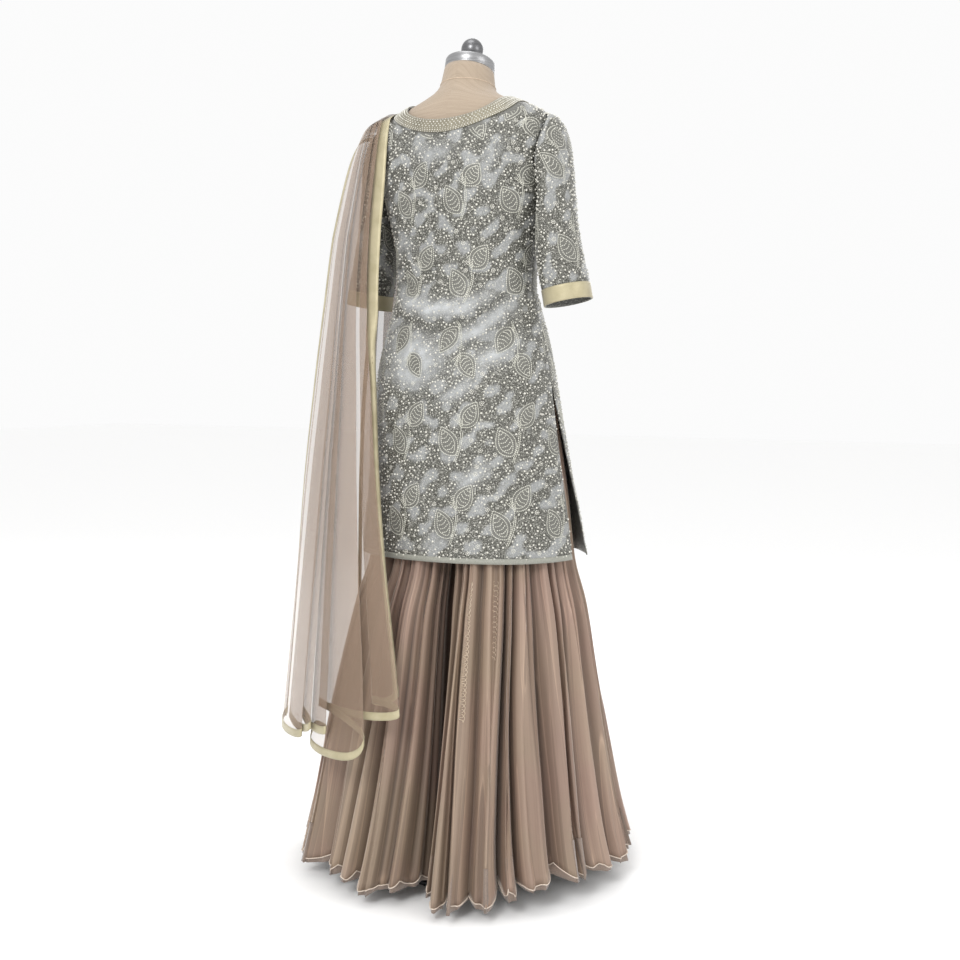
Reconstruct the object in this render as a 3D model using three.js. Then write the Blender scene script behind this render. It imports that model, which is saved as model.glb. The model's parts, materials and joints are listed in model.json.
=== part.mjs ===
// A sharara suit worn on a tailor's dress form: a thigh-length tunic, wide divided trousers, a net scarf.
// Millimetres, +Z up. The suit faces -Y, so +X is the wearer's left.
// The origin is the middle of the stand's underside.
import * as THREE from "three";

// Cloth, seams and trims
const TUNIC_CLOTH = 1.4;
const TROUSER_CLOTH = 1.2;
const BAND_CLOTH = 1.6; // the waistband is two layers
const NET_CLOTH = 1.0;
const TRIM_CLOTH = 1.0;
const SEAM = 0.3; // what is left between two sewn edges
const ON_TOP = 0.35; // what is left between a panel and a trim that lies on it

// Heights above the floor
const TUNIC_HEM = 591;
const SLIT_TOP = 905;
const ARMPIT = 1238;
const SHOULDER_TIP = 1381.5;
const NECK_POINT = 1416; // where the neckline crosses the shoulder seam
const BAND_BOTTOM = 1057; // the trousers' waistband
const BAND_TOP = 1092;
const CROTCH_SEAM = 780; // the centre seams end here, and the legs close below
const CROTCH_CLOSED = 690;
const TROUSER_HEM = 15;
const FORM_FOOT = 800;

const degrees = THREE.MathUtils.degToRad;
const mix = THREE.MathUtils.lerp;
const point = (x, y, z) => new THREE.Vector3(x, y, z);
const easedStep = (value, from, to) => THREE.MathUtils.smoothstep(value, from, to);

// Reads a table of named columns at any value of its key, on a smooth curve that never overshoots a row.
function profile(rows, key = "z") {
  const names = Object.keys(rows[0]).filter((name) => name !== key);
  const last = rows.length - 1;
  const rise = (name, i) => (rows[i + 1][name] - rows[i][name]) / (rows[i + 1][key] - rows[i][key]);
  const slope = (name, i) => {
    if (i === 0) return rise(name, 0);
    if (i === last) return rise(name, last - 1);
    const before = rise(name, i - 1);
    const after = rise(name, i);
    return before * after <= 0 ? 0 : (2 * before * after) / (before + after);
  };
  return (at) => {
    let i = 0;
    while (i < last - 1 && at > rows[i + 1][key]) i += 1;
    const span = rows[i + 1][key] - rows[i][key];
    const t = THREE.MathUtils.clamp((at - rows[i][key]) / span, 0, 1);
    const values = {};
    for (const name of names) {
      const low = rows[i][name];
      const high = rows[i + 1][name];
      const leave = slope(name, i) * span;
      const arrive = slope(name, i + 1) * span;
      const bend = 3 * (high - low) - 2 * leave - arrive;
      const twist = 2 * (low - high) + leave + arrive;
      values[name] = low + t * (leave + t * (bend + t * twist));
    }
    return values;
  };
}

// A point of a level section. Turn 0 is the centre back and 90 degrees the wearer's left.
function sectionPoint(section, turn, z) {
  const full = 1 + section.square * Math.sin(2 * turn) ** 2;
  const depth = Math.cos(turn) > 0 ? section.back : section.front;
  const y = depth * full * Math.cos(turn);
  const lean = Math.tan(degrees(section.tilt ?? 0));
  return point((section.x0 ?? 0) + section.half * full * Math.sin(turn), section.y0 + y, z + y * lean);
}

// The point behind an outer point, one wall thickness in. Neighbours on both sides give the slope,
// and folds are mitred.
function innerPoint(pointAt, i, j, rows, thickness) {
  const here = pointAt(i, j);
  const up = pointAt(Math.min(i + 1, rows - 1), j).sub(pointAt(Math.max(i - 1, 0), j));
  const facing = (from, to) => point().crossVectors(to.clone().sub(from), up).normalize();
  const before = facing(pointAt(i, j - 1), here);
  const after = facing(here, pointAt(i, j + 1));
  const normal = before.clone().add(after).normalize();
  const mitre = Math.min(2, 1 / Math.max(0.1, normal.dot(after)));
  return here.addScaledVector(normal, -thickness * mitre);
}

// Outer and inner points of a sheet. pointAt runs upward by i and anticlockwise from above by j.
function sheet(pointAt, rows, columns, thickness, lift = 0) {
  const layer = (depth) =>
    Array.from({ length: rows }, (_, i) =>
      Array.from({ length: columns }, (_, j) =>
        depth === 0 ? pointAt(i, j) : innerPoint(pointAt, i, j, rows, depth),
      ),
    );
  return { outer: layer(-lift), inner: layer(thickness - lift), rows, columns };
}

// A closed wall from a sheet. Only the cells that keep picks are built.
// A ring joins its last column to its first.
function wall({ outer, inner, rows, columns }, { ring = false, keep = () => true } = {}) {
  const cells = ring ? columns : columns - 1;
  const has = (i, j) => {
    if (i < 0 || i > rows - 2 || (!ring && (j < 0 || j > cells - 1))) return false;
    return keep(i, (j + cells) % cells);
  };
  const positions = [];
  const numbers = new Map();
  const corner = (layer, i, j) => {
    const key = `${layer} ${i} ${j % columns}`;
    if (!numbers.has(key)) {
      numbers.set(key, positions.length / 3);
      positions.push(...(layer === "outer" ? outer : inner)[i][j % columns].toArray());
    }
    return numbers.get(key);
  };
  const index = [];
  const quad = (a, b, c, d) => index.push(a, b, c, a, c, d);
  for (let i = 0; i < rows - 1; i += 1) {
    for (let j = 0; j < cells; j += 1) {
      if (!has(i, j)) continue;
      const places = [[i, j], [i, j + 1], [i + 1, j + 1], [i + 1, j]];
      const [o00, o01, o11, o10] = places.map((place) => corner("outer", ...place));
      const [n00, n01, n11, n10] = places.map((place) => corner("inner", ...place));
      quad(o00, o01, o11, o10);
      quad(n00, n10, n11, n01);
      if (!has(i - 1, j)) quad(o01, o00, n00, n01);
      if (!has(i + 1, j)) quad(o10, o11, n11, n10);
      if (!has(i, j - 1)) quad(o00, o10, n10, n00);
      if (!has(i, j + 1)) quad(o11, o01, n01, n11);
    }
  }
  return closed(positions, index);
}

function closed(positions, index) {
  const geometry = new THREE.BufferGeometry();
  geometry.setAttribute("position", new THREE.Float32BufferAttribute(positions, 3));
  geometry.setIndex(index);
  geometry.computeVertexNormals();
  return geometry;
}

// A solid body from level rings of points, closed by a fan at each end.
function loft(rings) {
  const around = rings[0].length;
  const positions = rings.flat().flatMap((p) => p.toArray());
  const index = [];
  for (let i = 0; i < rings.length - 1; i += 1) {
    for (let j = 0; j < around; j += 1) {
      const [a, b] = [i * around + j, i * around + ((j + 1) % around)];
      index.push(a, b, b + around, a, b + around, a + around);
    }
  }
  const fan = (ring, faceUp) => {
    const middle = positions.length / 3;
    const sum = ring.reduce((total, p) => total.add(p), point(0, 0, 0));
    positions.push(...sum.divideScalar(around).toArray());
    const first = faceUp ? (rings.length - 1) * around : 0;
    for (let j = 0; j < around; j += 1) {
      const [a, b] = [first + j, first + ((j + 1) % around)];
      index.push(...(faceUp ? [a, b, middle] : [b, a, middle]));
    }
  };
  fan(rings[0], false);
  fan(rings[rings.length - 1], true);
  return closed(positions, index);
}

function finish(color, roughness, metalness) {
  return new THREE.MeshStandardMaterial({ color, roughness, metalness });
}

const materials = {
  embroidered: finish(0x9c9c98, 0.6, 0),
  ribbon: finish(0xd8cfa8, 0.5, 0.2),
  georgette: finish(0xa48f81, 0.85, 0),
  net: finish(0xb9a698, 0.7, 0),
  linen: finish(0xd9c3a3, 0.85, 0),
  steel: finish(0x8d8f92, 0.35, 1),
  iron: finish(0x4a4b4d, 0.55, 0.6),
};

const suit = new THREE.Group();
suit.name = "sharara_suit_on_dress_form";

function add(name, geometry, material) {
  const mesh = new THREE.Mesh(geometry, materials[material]);
  mesh.name = name;
  suit.add(mesh);
}

// Dress form: a padded torso with a metal neck cap and knob, on a pole with a round foot.
const FORM_SECTIONS = [
  { z: 800, half: 148, front: 92, back: 98, y0: 2, square: 0.04, tilt: 0 },
  { z: 850, half: 156, front: 96, back: 107, y0: 2, square: 0.04, tilt: 0 },
  { z: 905, half: 157, front: 96, back: 111, y0: 1, square: 0.04, tilt: 0 },
  { z: 960, half: 149, front: 92, back: 102, y0: 0, square: 0.03, tilt: 0 },
  { z: 1020, half: 132, front: 87, back: 88, y0: 0, square: 0.03, tilt: 0 },
  { z: 1057, half: 121, front: 84, back: 79, y0: 0, square: 0.02, tilt: 0 },
  { z: 1074.5, half: 118, front: 83, back: 77, y0: 0, square: 0.02, tilt: 0 },
  { z: 1092, half: 119, front: 84, back: 77, y0: 0, square: 0.02, tilt: 0 },
  { z: 1130, half: 125, front: 89, back: 80, y0: 0, square: 0.02, tilt: 0 },
  { z: 1185, half: 138, front: 105, back: 86, y0: 0, square: 0.03, tilt: 0 },
  { z: 1240, half: 150, front: 115, back: 92, y0: 0, square: 0.05, tilt: 0 },
  { z: 1295, half: 160, front: 102, back: 97, y0: 0, square: 0.05, tilt: 0 },
  { z: 1338, half: 167, front: 86, back: 90, y0: 2, square: 0.05, tilt: 0 },
  { z: 1365, half: 167, front: 78, back: 81, y0: 3, square: 0.04, tilt: 0 },
  { z: 1384, half: 155, front: 71, back: 74, y0: 3, square: 0.02, tilt: 0 },
  { z: 1401, half: 124, front: 66, back: 69, y0: 2, square: 0, tilt: 1 },
  { z: 1414, half: 90, front: 61, back: 64, y0: 0, square: 0, tilt: 3 },
  { z: 1425, half: 66, front: 54, back: 56, y0: -3, square: 0, tilt: 6 },
  { z: 1438, half: 53, front: 48, back: 49, y0: -6, square: 0, tilt: 10 },
  { z: 1472, half: 45.5, front: 45.5, back: 45.5, y0: -12, square: 0, tilt: 15 },
];
const FORM_COLUMNS = 28;
const CAP = { radius: 46, height: 20, crown: 2, lip: 4, edge: 1, sides: 28 };
const KNOB = { radius: 20.5, neck: 9, stem: 3, steps: 7, sides: 20 };
const POLE = { radius: 12, sides: 20, collarRadius: 30, collarHeight: 9 };
const FOOT = { radius: 165, plate: 8, hubRadius: 18, hubTop: 50, edge: 2, sides: 32 };
const formAt = profile(FORM_SECTIONS);

function formRing(z) {
  const section = formAt(z);
  return Array.from({ length: FORM_COLUMNS }, (_, j) =>
    sectionPoint(section, (-2 * Math.PI * j) / FORM_COLUMNS, z),
  );
}

function addDressForm() {
  add("form_torso", loft(FORM_SECTIONS.map((section) => formRing(section.z))), "linen");
  const top = FORM_SECTIONS[FORM_SECTIONS.length - 1];
  const seat = new THREE.Group();
  seat.position.set(0, top.y0, top.z);
  seat.rotation.x = degrees(top.tilt);
  suit.add(seat);
  const cap = turned("form_neck_cap", capOutline(), CAP.sides, "steel");
  cap.position.z = SEAM;
  seat.add(cap);
  const knob = turned("form_knob", knobOutline(), KNOB.sides, "steel");
  knob.position.z = CAP.height + CAP.crown + 2 * SEAM;
  seat.add(knob);
  const pole = turned("stand_pole", poleOutline(), POLE.sides, "steel");
  pole.position.z = FOOT.hubTop + SEAM;
  suit.add(pole);
  suit.add(turned("stand_foot", footOutline(), FOOT.sides, "iron"));
}

// Outlines are pairs of a radius and a height.
function capOutline() {
  const { radius, height, crown, lip, edge } = CAP;
  const bevel = lip * 0.3;
  return [
    [0, 0], [radius - edge, 0], [radius, edge], [radius, height - lip],
    [radius - bevel, height - bevel], [radius - lip, height], [0, height + crown],
  ];
}

function knobOutline() {
  const start = Math.asin(KNOB.neck / KNOB.radius);
  const outline = [[0, 0], [KNOB.neck, 0]];
  for (let k = 0; k < KNOB.steps; k += 1) {
    const turn = mix(start, Math.PI, k / KNOB.steps);
    const height = KNOB.radius * (Math.cos(start) - Math.cos(turn)) + KNOB.stem;
    outline.push([KNOB.radius * Math.sin(turn), height]);
  }
  outline.push([0, KNOB.radius * (Math.cos(start) + 1) + KNOB.stem]);
  return outline;
}

function poleOutline() {
  const top = FORM_FOOT - FOOT.hubTop - 2 * SEAM;
  const shoulder = top - POLE.collarHeight;
  return [
    [0, 0], [POLE.radius, 0], [POLE.radius, shoulder],
    [POLE.collarRadius, shoulder], [POLE.collarRadius, top], [0, top],
  ];
}

function footOutline() {
  const { radius, plate, hubRadius, hubTop, edge } = FOOT;
  return [
    [0, 0], [radius - edge, 0], [radius, edge], [radius, plate - edge], [radius - edge, plate],
    [hubRadius + edge, plate], [hubRadius, plate + edge],
    [hubRadius, hubTop - edge], [hubRadius - edge, hubTop], [0, hubTop],
  ];
}

// A turned piece: its outline of radius and height starts and ends on the axis.
function turned(name, outline, sides, material) {
  const geometry = new THREE.LatheGeometry(outline.map(([r, h]) => new THREE.Vector2(r, h)), sides);
  geometry.rotateX(Math.PI / 2);
  const mesh = new THREE.Mesh(geometry, materials[material]);
  mesh.name = name;
  return mesh;
}

// Tunic: back, front, two sleeves, and gold ribbon at the neck and cuffs.
const TUNIC_SECTIONS = [
  { z: 591, half: 213, front: 171, back: 162, x0: -12, y0: 0, square: 0.03 },
  { z: 660, half: 205, front: 160, back: 155, x0: -10, y0: 0, square: 0.03 },
  { z: 750, half: 193, front: 148, back: 146, x0: -6, y0: 0, square: 0.03 },
  { z: 840, half: 182, front: 135, back: 137, x0: -2, y0: 0, square: 0.03 },
  { z: 905, half: 174, front: 124, back: 130, x0: 0, y0: 0, square: 0.03 },
  { z: 970, half: 162, front: 112, back: 119, x0: 0, y0: 0, square: 0.03 },
  { z: 1030, half: 146, front: 104, back: 105, x0: 0, y0: 0, square: 0.03 },
  { z: 1085, half: 134, front: 100, back: 95, x0: 0, y0: 0, square: 0.03 },
  { z: 1140, half: 137, front: 105, back: 95, x0: 0, y0: 0, square: 0.03 },
  { z: 1190, half: 146, front: 117, back: 98, x0: 0, y0: 0, square: 0.04 },
  { z: 1238, half: 156, front: 123, back: 102, x0: 0, y0: 0, square: 0.05 },
  { z: 1295, half: 165, front: 109, back: 103, x0: 0, y0: 1, square: 0.05 },
  { z: 1338, half: 171, front: 92, back: 96, x0: 0, y0: 2, square: 0.05 },
  { z: 1366, half: 171, front: 84, back: 87, x0: 0, y0: 3, square: 0.04 },
  { z: 1384.5, half: 159.5, front: 80, back: 80, x0: 0, y0: 3, square: 0.02 },
  { z: 1402.3, half: 127, front: 73, back: 76, x0: 0, y0: 2, square: 0 },
  { z: 1416, half: 93, front: 67, back: 71, x0: 0, y0: 0, square: 0 },
];
const tunicAt = profile(TUNIC_SECTIONS);
const TUNIC_COLUMNS = 17;
// Heights of the rows along the side seam, armhole and shoulder seam.
const HEM_TO_ARMPIT = [TUNIC_HEM, 680, 790, SLIT_TOP, 965, 1005, 1035, 1065, 1100, 1150, 1195, ARMPIT];
const SLEEVE_COLUMNS = 14;
const armholeHeight = (around) => mix(ARMPIT, SHOULDER_TIP, 0.5 + 0.5 * Math.cos(around));
const ARMHOLE_ROWS = Array.from({ length: SLEEVE_COLUMNS / 2 }, (_, k) =>
  armholeHeight((2 * Math.PI * k) / SLEEVE_COLUMNS),
).reverse();
const ARMPIT_TO_NECK = [...ARMHOLE_ROWS, 1394];
// The neckline of each panel is half an oval, as deep as its drop and as wide as the neck point allows.
const NECKLINES = { back: { drop: 44, turn: 0 }, front: { drop: 100, turn: Math.PI } };
const NECK_HALF = 96;
const RIBBON = { neck: 24, neckAtShoulder: 9.5 };
// How far each panel's slit edge stands back from the side at the hem, in degrees.
const SLIT = { back: 7, front: 16 };
const ARMHOLE_TURN = 23; // how far the armhole cuts in from the side, in degrees
// Soft drag folds of the back above the hips: where each is lowest, how much it rises 100 mm
// to either side, and its size.
const WAIST_FOLDS = [
  { z: 1018, x: -10, rise: 29, height: 5, width: 15, reach: 115 },
  { z: 1050, x: 25, rise: 36, height: 4, width: 13, reach: 95 },
];

function waistFold(x, z) {
  return WAIST_FOLDS.reduce((sum, fold) => {
    const across = (x - fold.x) / 100;
    const away = (z - fold.z - fold.rise * across ** 2) / fold.width;
    return sum + fold.height * Math.exp(-(away ** 2)) * Math.exp(-(((x - fold.x) / fold.reach) ** 4));
  }, 0);
}

function tunicPoint(turn, z) {
  const at = sectionPoint(tunicAt(z), turn, z);
  if (Math.cos(turn) > 0) at.y += waistFold(at.x, z) * Math.cos(turn);
  return at;
}

// How far from the panel's centre its edge lies at a height, in radians: slit, side, armhole, shoulder.
function edgeTurn(panel, z) {
  if (z < SLIT_TOP) return degrees(90 - SLIT[panel] * ((SLIT_TOP - z) / (SLIT_TOP - TUNIC_HEM)) ** 0.8);
  if (z <= ARMPIT || z >= SHOULDER_TIP) return degrees(90);
  const along = (z - ARMPIT) / (SHOULDER_TIP - ARMPIT);
  return degrees(90 - ARMHOLE_TURN * Math.sin(Math.PI * along) ** 0.7);
}

// The height at which the neckline's oval crosses the panel at a turn from its centre, found by halving.
function necklineHeight(panel, turnFromCentre) {
  const { drop } = NECKLINES[panel];
  let [low, high] = [NECK_POINT - drop, NECK_POINT];
  for (let step = 0; step < 24; step += 1) {
    const z = (low + high) / 2;
    const x = tunicAt(z).half * Math.sin(turnFromCentre);
    const outside = (x / NECK_HALF) ** 2 + ((NECK_POINT - z) / drop) ** 2 > 1;
    if (outside) low = z;
    else high = z;
  }
  return (low + high) / 2;
}

function panelHeights(panel, turnFromCentre) {
  const top = necklineHeight(panel, turnFromCentre);
  const ribbon = mix(RIBBON.neck, RIBBON.neckAtShoulder, Math.abs(Math.sin(turnFromCentre)) ** 2.5);
  const lastRow = NECK_POINT - RIBBON.neckAtShoulder;
  const stretch = (top - ribbon - ARMPIT) / (lastRow - ARMPIT);
  const upper = [...ARMPIT_TO_NECK, lastRow].map((z) => ({ edge: z, z: ARMPIT + (z - ARMPIT) * stretch }));
  return [...HEM_TO_ARMPIT.map((z) => ({ edge: z, z })), ...upper, { edge: NECK_POINT, z: top }];
}

const TUNIC_ROWS = HEM_TO_ARMPIT.length + ARMPIT_TO_NECK.length + 2;

function panelPoint(panel, i, j) {
  const across = 1 - (2 * j) / (TUNIC_COLUMNS - 1); // 1 at the wearer's left of a back panel
  const edgeHeight = panelHeights(panel, Math.PI / 2)[i].edge;
  const seamInset = SEAM / 2 / tunicAt(edgeHeight).back;
  const reach = edgeTurn(panel, edgeHeight) - seamInset;
  const fromCentre = across * reach;
  const shape = Math.min(Math.abs(across), 1) * (Math.PI / 2);
  return tunicPoint(NECKLINES[panel].turn + fromCentre, panelHeights(panel, shape)[i].z);
}

function addTunicPanels() {
  for (const panel of ["back", "front"]) {
    const at = (i, j) => panelPoint(panel, i, j);
    add(`tunic_${panel}`, wall(sheet(at, TUNIC_ROWS, TUNIC_COLUMNS, TUNIC_CLOTH)), "embroidered");
    const ribbon = sheet(at, TUNIC_ROWS, TUNIC_COLUMNS, TRIM_CLOTH, ON_TOP + TRIM_CLOTH);
    const neckOnly = { keep: (i) => i === TUNIC_ROWS - 2 };
    add(`tunic_neck_ribbon_${panel}`, wall(ribbon, neckOnly), "ribbon");
  }
}

// Sleeve rings, given by where each crosses the sleeve's inner and outer line, and by its half depth.
const SLEEVE_RINGS = [
  { innerX: 158.5, innerZ: 1235, outerX: 181, outerZ: 1375, depth: 51, y: 3 },
  { innerX: 159, innerZ: 1229, outerX: 195, outerZ: 1356, depth: 54, y: 3 },
  { innerX: 158, innerZ: 1221, outerX: 203.5, outerZ: 1328, depth: 54, y: 3 },
  { innerX: 155.5, innerZ: 1207, outerX: 208.5, outerZ: 1290, depth: 53, y: 3 },
  { innerX: 152, innerZ: 1186, outerX: 213, outerZ: 1242, depth: 52, y: 2 },
  { innerX: 148.5, innerZ: 1156, outerX: 219, outerZ: 1188, depth: 50, y: 1 },
  { innerX: 149.5, innerZ: 1112, outerX: 229, outerZ: 1137, depth: 47.5, y: -2 },
  { innerX: 156, innerZ: 1068, outerX: 240, outerZ: 1085, depth: 45, y: -6 },
  { innerX: 160.5, innerZ: 1040, outerX: 245, outerZ: 1057, depth: 44, y: -8 },
];
const ARMHOLE_SEAM = 0.6;
const HEAD_LIFT = 1.6; // the eased sleeve head stands a little above the shoulder's tip
const SLEEVE_LEAN = { right: 0, left: 16 }; // how far further out the cuff swings

function armholePoint(around) {
  const z = armholeHeight(around);
  const panel = Math.sin(around) > 0 ? "back" : "front";
  const reach = edgeTurn(panel, z);
  const turn = panel === "back" ? reach : Math.PI - reach;
  return tunicPoint(turn, z).add(point(ARMHOLE_SEAM, 0, HEAD_LIFT * Math.max(0, Math.cos(around)) ** 3));
}

function sleevePoint(side, i, j) {
  const around = (2 * Math.PI * j) / SLEEVE_COLUMNS;
  const row = SLEEVE_RINGS.length - i;
  const mirror = side === "left" ? 1 : -1;
  // The wearer's left sleeve turns the other way round, so that both face out.
  const place = side === "left" ? around : -around;
  const at = row === 0 ? armholePoint(place) : ringPoint(SLEEVE_RINGS[row - 1], place);
  const lean = SLEEVE_LEAN[side] * easedStep(ARMPIT + 30 - at.z, 0, 250);
  return point(mirror * (at.x + lean), at.y, at.z);
}

function ringPoint(ring, around) {
  const up = point(ring.outerX - ring.innerX, 0, ring.outerZ - ring.innerZ).multiplyScalar(0.5);
  const middle = point((ring.outerX + ring.innerX) / 2, ring.y, (ring.outerZ + ring.innerZ) / 2);
  return middle.addScaledVector(up, Math.cos(around)).add(point(0, ring.depth * Math.sin(around), 0));
}

function addSleeves() {
  const rows = SLEEVE_RINGS.length + 1;
  for (const side of ["right", "left"]) {
    const at = (i, j) => sleevePoint(side, i, j);
    const sleeve = sheet(at, rows, SLEEVE_COLUMNS, TUNIC_CLOTH);
    add(`tunic_sleeve_${side}`, wall(sleeve, { ring: true }), "embroidered");
    const cuff = sheet(at, rows, SLEEVE_COLUMNS, TRIM_CLOTH, ON_TOP + TRIM_CLOTH);
    add(`tunic_cuff_ribbon_${side}`, wall(cuff, { ring: true, keep: (i) => i === 0 }), "ribbon");
  }
}

// Trousers: a waistband and two gathered legs, each of a back and a front panel.
// The pole is in the left leg.
// half, front and back are the reach of the fold crests, and fold is how deep the folds go behind them.
const TROUSER_SECTIONS = [
  { z: 15, half: 333, front: 314, back: 311, x0: 7, fold: 62, split: -34, round: 0.35 },
  { z: 110, half: 309, front: 288, back: 286, x0: 9, fold: 57, split: -34, round: 0.35 },
  { z: 230, half: 286, front: 259, back: 257, x0: 8, fold: 50, split: -34, round: 0.35 },
  { z: 380, half: 255, front: 225, back: 222, x0: 1, fold: 41, split: -34, round: 0.38 },
  { z: 500, half: 229, front: 194, back: 190, x0: -6, fold: 32, split: -34, round: 0.42 },
  { z: 585, half: 204, front: 162, back: 155, x0: -9, fold: 24, split: -34, round: 0.42 },
  { z: 690, half: 192, front: 147, back: 144, x0: -8, fold: 16, split: -34, round: 0.3 },
  { z: 780, half: 182, front: 136, back: 135, x0: -4, fold: 10, split: -10, round: 0.05 },
  { z: 905, half: 168, front: 116, back: 123, x0: 0, fold: 5, split: 0, round: 0.02 },
  { z: 980, half: 152, front: 104, back: 108, x0: 0, fold: 4, split: 0, round: 0.02 },
  { z: 1056.7, half: 126.5, front: 89.5, back: 84.5, x0: 0, fold: 3, split: 0, round: 0.02 },
];
const trouserAt = profile(TROUSER_SECTIONS);
const TROUSER_TOP = BAND_BOTTOM - 1.5 * SEAM;
const TROUSER_ROWS = [TROUSER_HEM, 200, 380, 585, CROTCH_CLOSED, CROTCH_SEAM, 905, 980, TROUSER_TOP];
const HIP_SQUARE = 0.035; // how much fuller the hips are between the sides and the middle
const LEG_GAP = 6; // between the two legs' inner sides
const UNEVEN = { turn: 2.2, folds: 2.7 }; // how far folds wander, in degrees, and over how many folds
const LEG_SWAY = { size: 9, length: 46 }; // both inner sides swing together from front to back
const FOLDS = { outer: 8, inner: 2, samples: 5, innerSamples: 4, innerDepth: 4.5 }; // on each panel
const OUTER_SHARE = 0.75; // how much of a panel's width lies round the outside
const PANEL_INSET = 0.0012; // keeps the seam gap between neighbouring panels, as a share of a panel
const CORNER_DEPTH = 0.25; // how much of a fold is left where the outside turns into the inner side

// A fold's height from 0 to 1 at a count of folds from an edge. Valleys lie at whole counts.
const foldHeight = (count) => 0.5 - 0.5 * Math.cos(2 * Math.PI * count);
// How the depths of the valleys and the set-back of the crests vary round the leg.
const valleySize = (index) => 0.82 + 0.18 * Math.sin(2.3 * index + 0.7);
const crestDrop = (count) => 0.12 + 0.12 * Math.sin(1.9 * count + 1.1);

// side is -1 for the wearer's right leg and 1 for the left. along runs from -1 at the front inseam,
// past the side seam at 0, to 1 at the back inseam.
function legPoint(side, along, z) {
  const section = trouserAt(z);
  const closing = easedStep(CROTCH_SEAM - z, 0, CROTCH_SEAM - CROTCH_CLOSED);
  const back = along > 0 ? 1 : -1;
  const outerPart = Math.min(Math.abs(along) / OUTER_SHARE, 1);
  const innerPart = Math.max((Math.abs(along) - OUTER_SHARE) / (1 - OUTER_SHARE), 0);
  const folds = outerPart * FOLDS.outer;
  const uneven = Math.sin((2 * Math.PI * folds) / UNEVEN.folds + side) * easedStep(folds, 0, 1);
  const settle = 1 - easedStep(folds, FOLDS.outer - 1, FOLDS.outer);
  const evenTurn = mix((Math.PI / 2) * Math.abs(along), (Math.PI / 2) * (outerPart + innerPart), closing);
  const turn = evenTurn + degrees(UNEVEN.turn) * uneven * settle;

  const shelf = (c) => (c + Math.hypot(c, section.round)) / 2;
  const outward = (shelf(Math.cos(turn)) - shelf(-1)) / (shelf(1) - shelf(-1));
  const gap = mix(SEAM, LEG_GAP, closing) / 2;
  const full = 1 + HIP_SQUARE * (1 - closing) * Math.sin(2 * turn) ** 2;
  const reach = full * (section.half + side * (section.x0 - section.split) - gap);
  const depth = full * (along > 0 ? section.back : section.front);
  const y = back * depth * Math.sin(turn);
  const sway = closing * LEG_SWAY.size * Math.sin(y / LEG_SWAY.length) * (1 - Math.min(1, 2 * outward));

  const valley = valleySize(Math.round(folds) * back + 2 * side) * (1 - foldHeight(folds));
  const atCorner = easedStep(folds, FOLDS.outer - 1, FOLDS.outer);
  const corner = mix(1, CORNER_DEPTH, atCorner) * (1 - innerPart) ** 2;
  const innerFold = Math.min(FOLDS.innerDepth, section.fold) * foldHeight(innerPart * FOLDS.inner);
  const sink = section.fold * corner * (valley + crestDrop(folds * back + side)) + innerFold;
  return point(
    section.split + side * (gap + reach * outward - Math.cos(turn) * sink) + sway,
    y - back * Math.sin(turn) * sink,
    z,
  );
}

function addTrousers() {
  const outerColumns = FOLDS.outer * FOLDS.samples;
  const innerColumns = FOLDS.inner * FOLDS.innerSamples;
  const columns = outerColumns + innerColumns + 1;
  const share = (j) => {
    if (j <= outerColumns) return (OUTER_SHARE * j) / outerColumns;
    return OUTER_SHARE + ((1 - OUTER_SHARE) * (j - outerColumns)) / innerColumns;
  };
  for (const [leg, side] of [["right", -1], ["left", 1]]) {
    for (const [panel, back] of [["back", 1], ["front", -1]]) {
      // Columns run anticlockwise seen from above, so that the wall faces out.
      const forward = side * back > 0;
      const at = (i, j) => {
        const k = forward ? j : columns - 1 - j;
        const along = k < 0 ? -share(-k) : Math.min(share(k), 1);
        return legPoint(side, back * mix(PANEL_INSET, 1 - PANEL_INSET, along), TROUSER_ROWS[i]);
      };
      const pieces = sheet(at, TROUSER_ROWS.length, columns, TROUSER_CLOTH);
      add(`trouser_leg_${leg}_${panel}`, wall(pieces), "georgette");
    }
  }
}

function addWaistband() {
  const heights = [BAND_BOTTOM, (BAND_BOTTOM + BAND_TOP) / 2, BAND_TOP];
  const ease = 1.5 * SEAM + BAND_CLOTH;
  const at = (i, j) => {
    const { half, front, back, ...rest } = formAt(heights[i]);
    const band = { half: half + ease, front: front + ease, back: back + ease, ...rest };
    return sectionPoint(band, (-2 * Math.PI * j) / FORM_COLUMNS, heights[i]);
  };
  const band = sheet(at, heights.length, FORM_COLUMNS, BAND_CLOTH);
  add("trouser_waistband", wall(band, { ring: true }), "georgette");
}

// Scarf: one length of net over the left shoulder, with a gold ribbon along every edge.
// Each row gives the turn from the centre back and the reach from the axis of the inner and the outer edge.
const SCARF_BACK = [
  { z: 210, innerTurn: 0, innerReach: 272, outerTurn: 69, outerReach: 356, fold: 28 },
  { z: 400, innerTurn: 6, innerReach: 240, outerTurn: 71, outerReach: 341, fold: 24 },
  { z: 560, innerTurn: 18, innerReach: 208, outerTurn: 72, outerReach: 330, fold: 20 },
  { z: 720, innerTurn: 29, innerReach: 182, outerTurn: 73, outerReach: 318, fold: 17 },
  { z: 900, innerTurn: 42, innerReach: 168, outerTurn: 74, outerReach: 298, fold: 14 },
  { z: 1050, innerTurn: 50, innerReach: 166, outerTurn: 74, outerReach: 277, fold: 12 },
  { z: 1190, innerTurn: 52, innerReach: 158, outerTurn: 74, outerReach: 256, fold: 10 },
  { z: 1310, innerTurn: 54, innerReach: 144, outerTurn: 74, outerReach: 226, fold: 7 },
];
const scarfAt = profile(SCARF_BACK);
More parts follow.
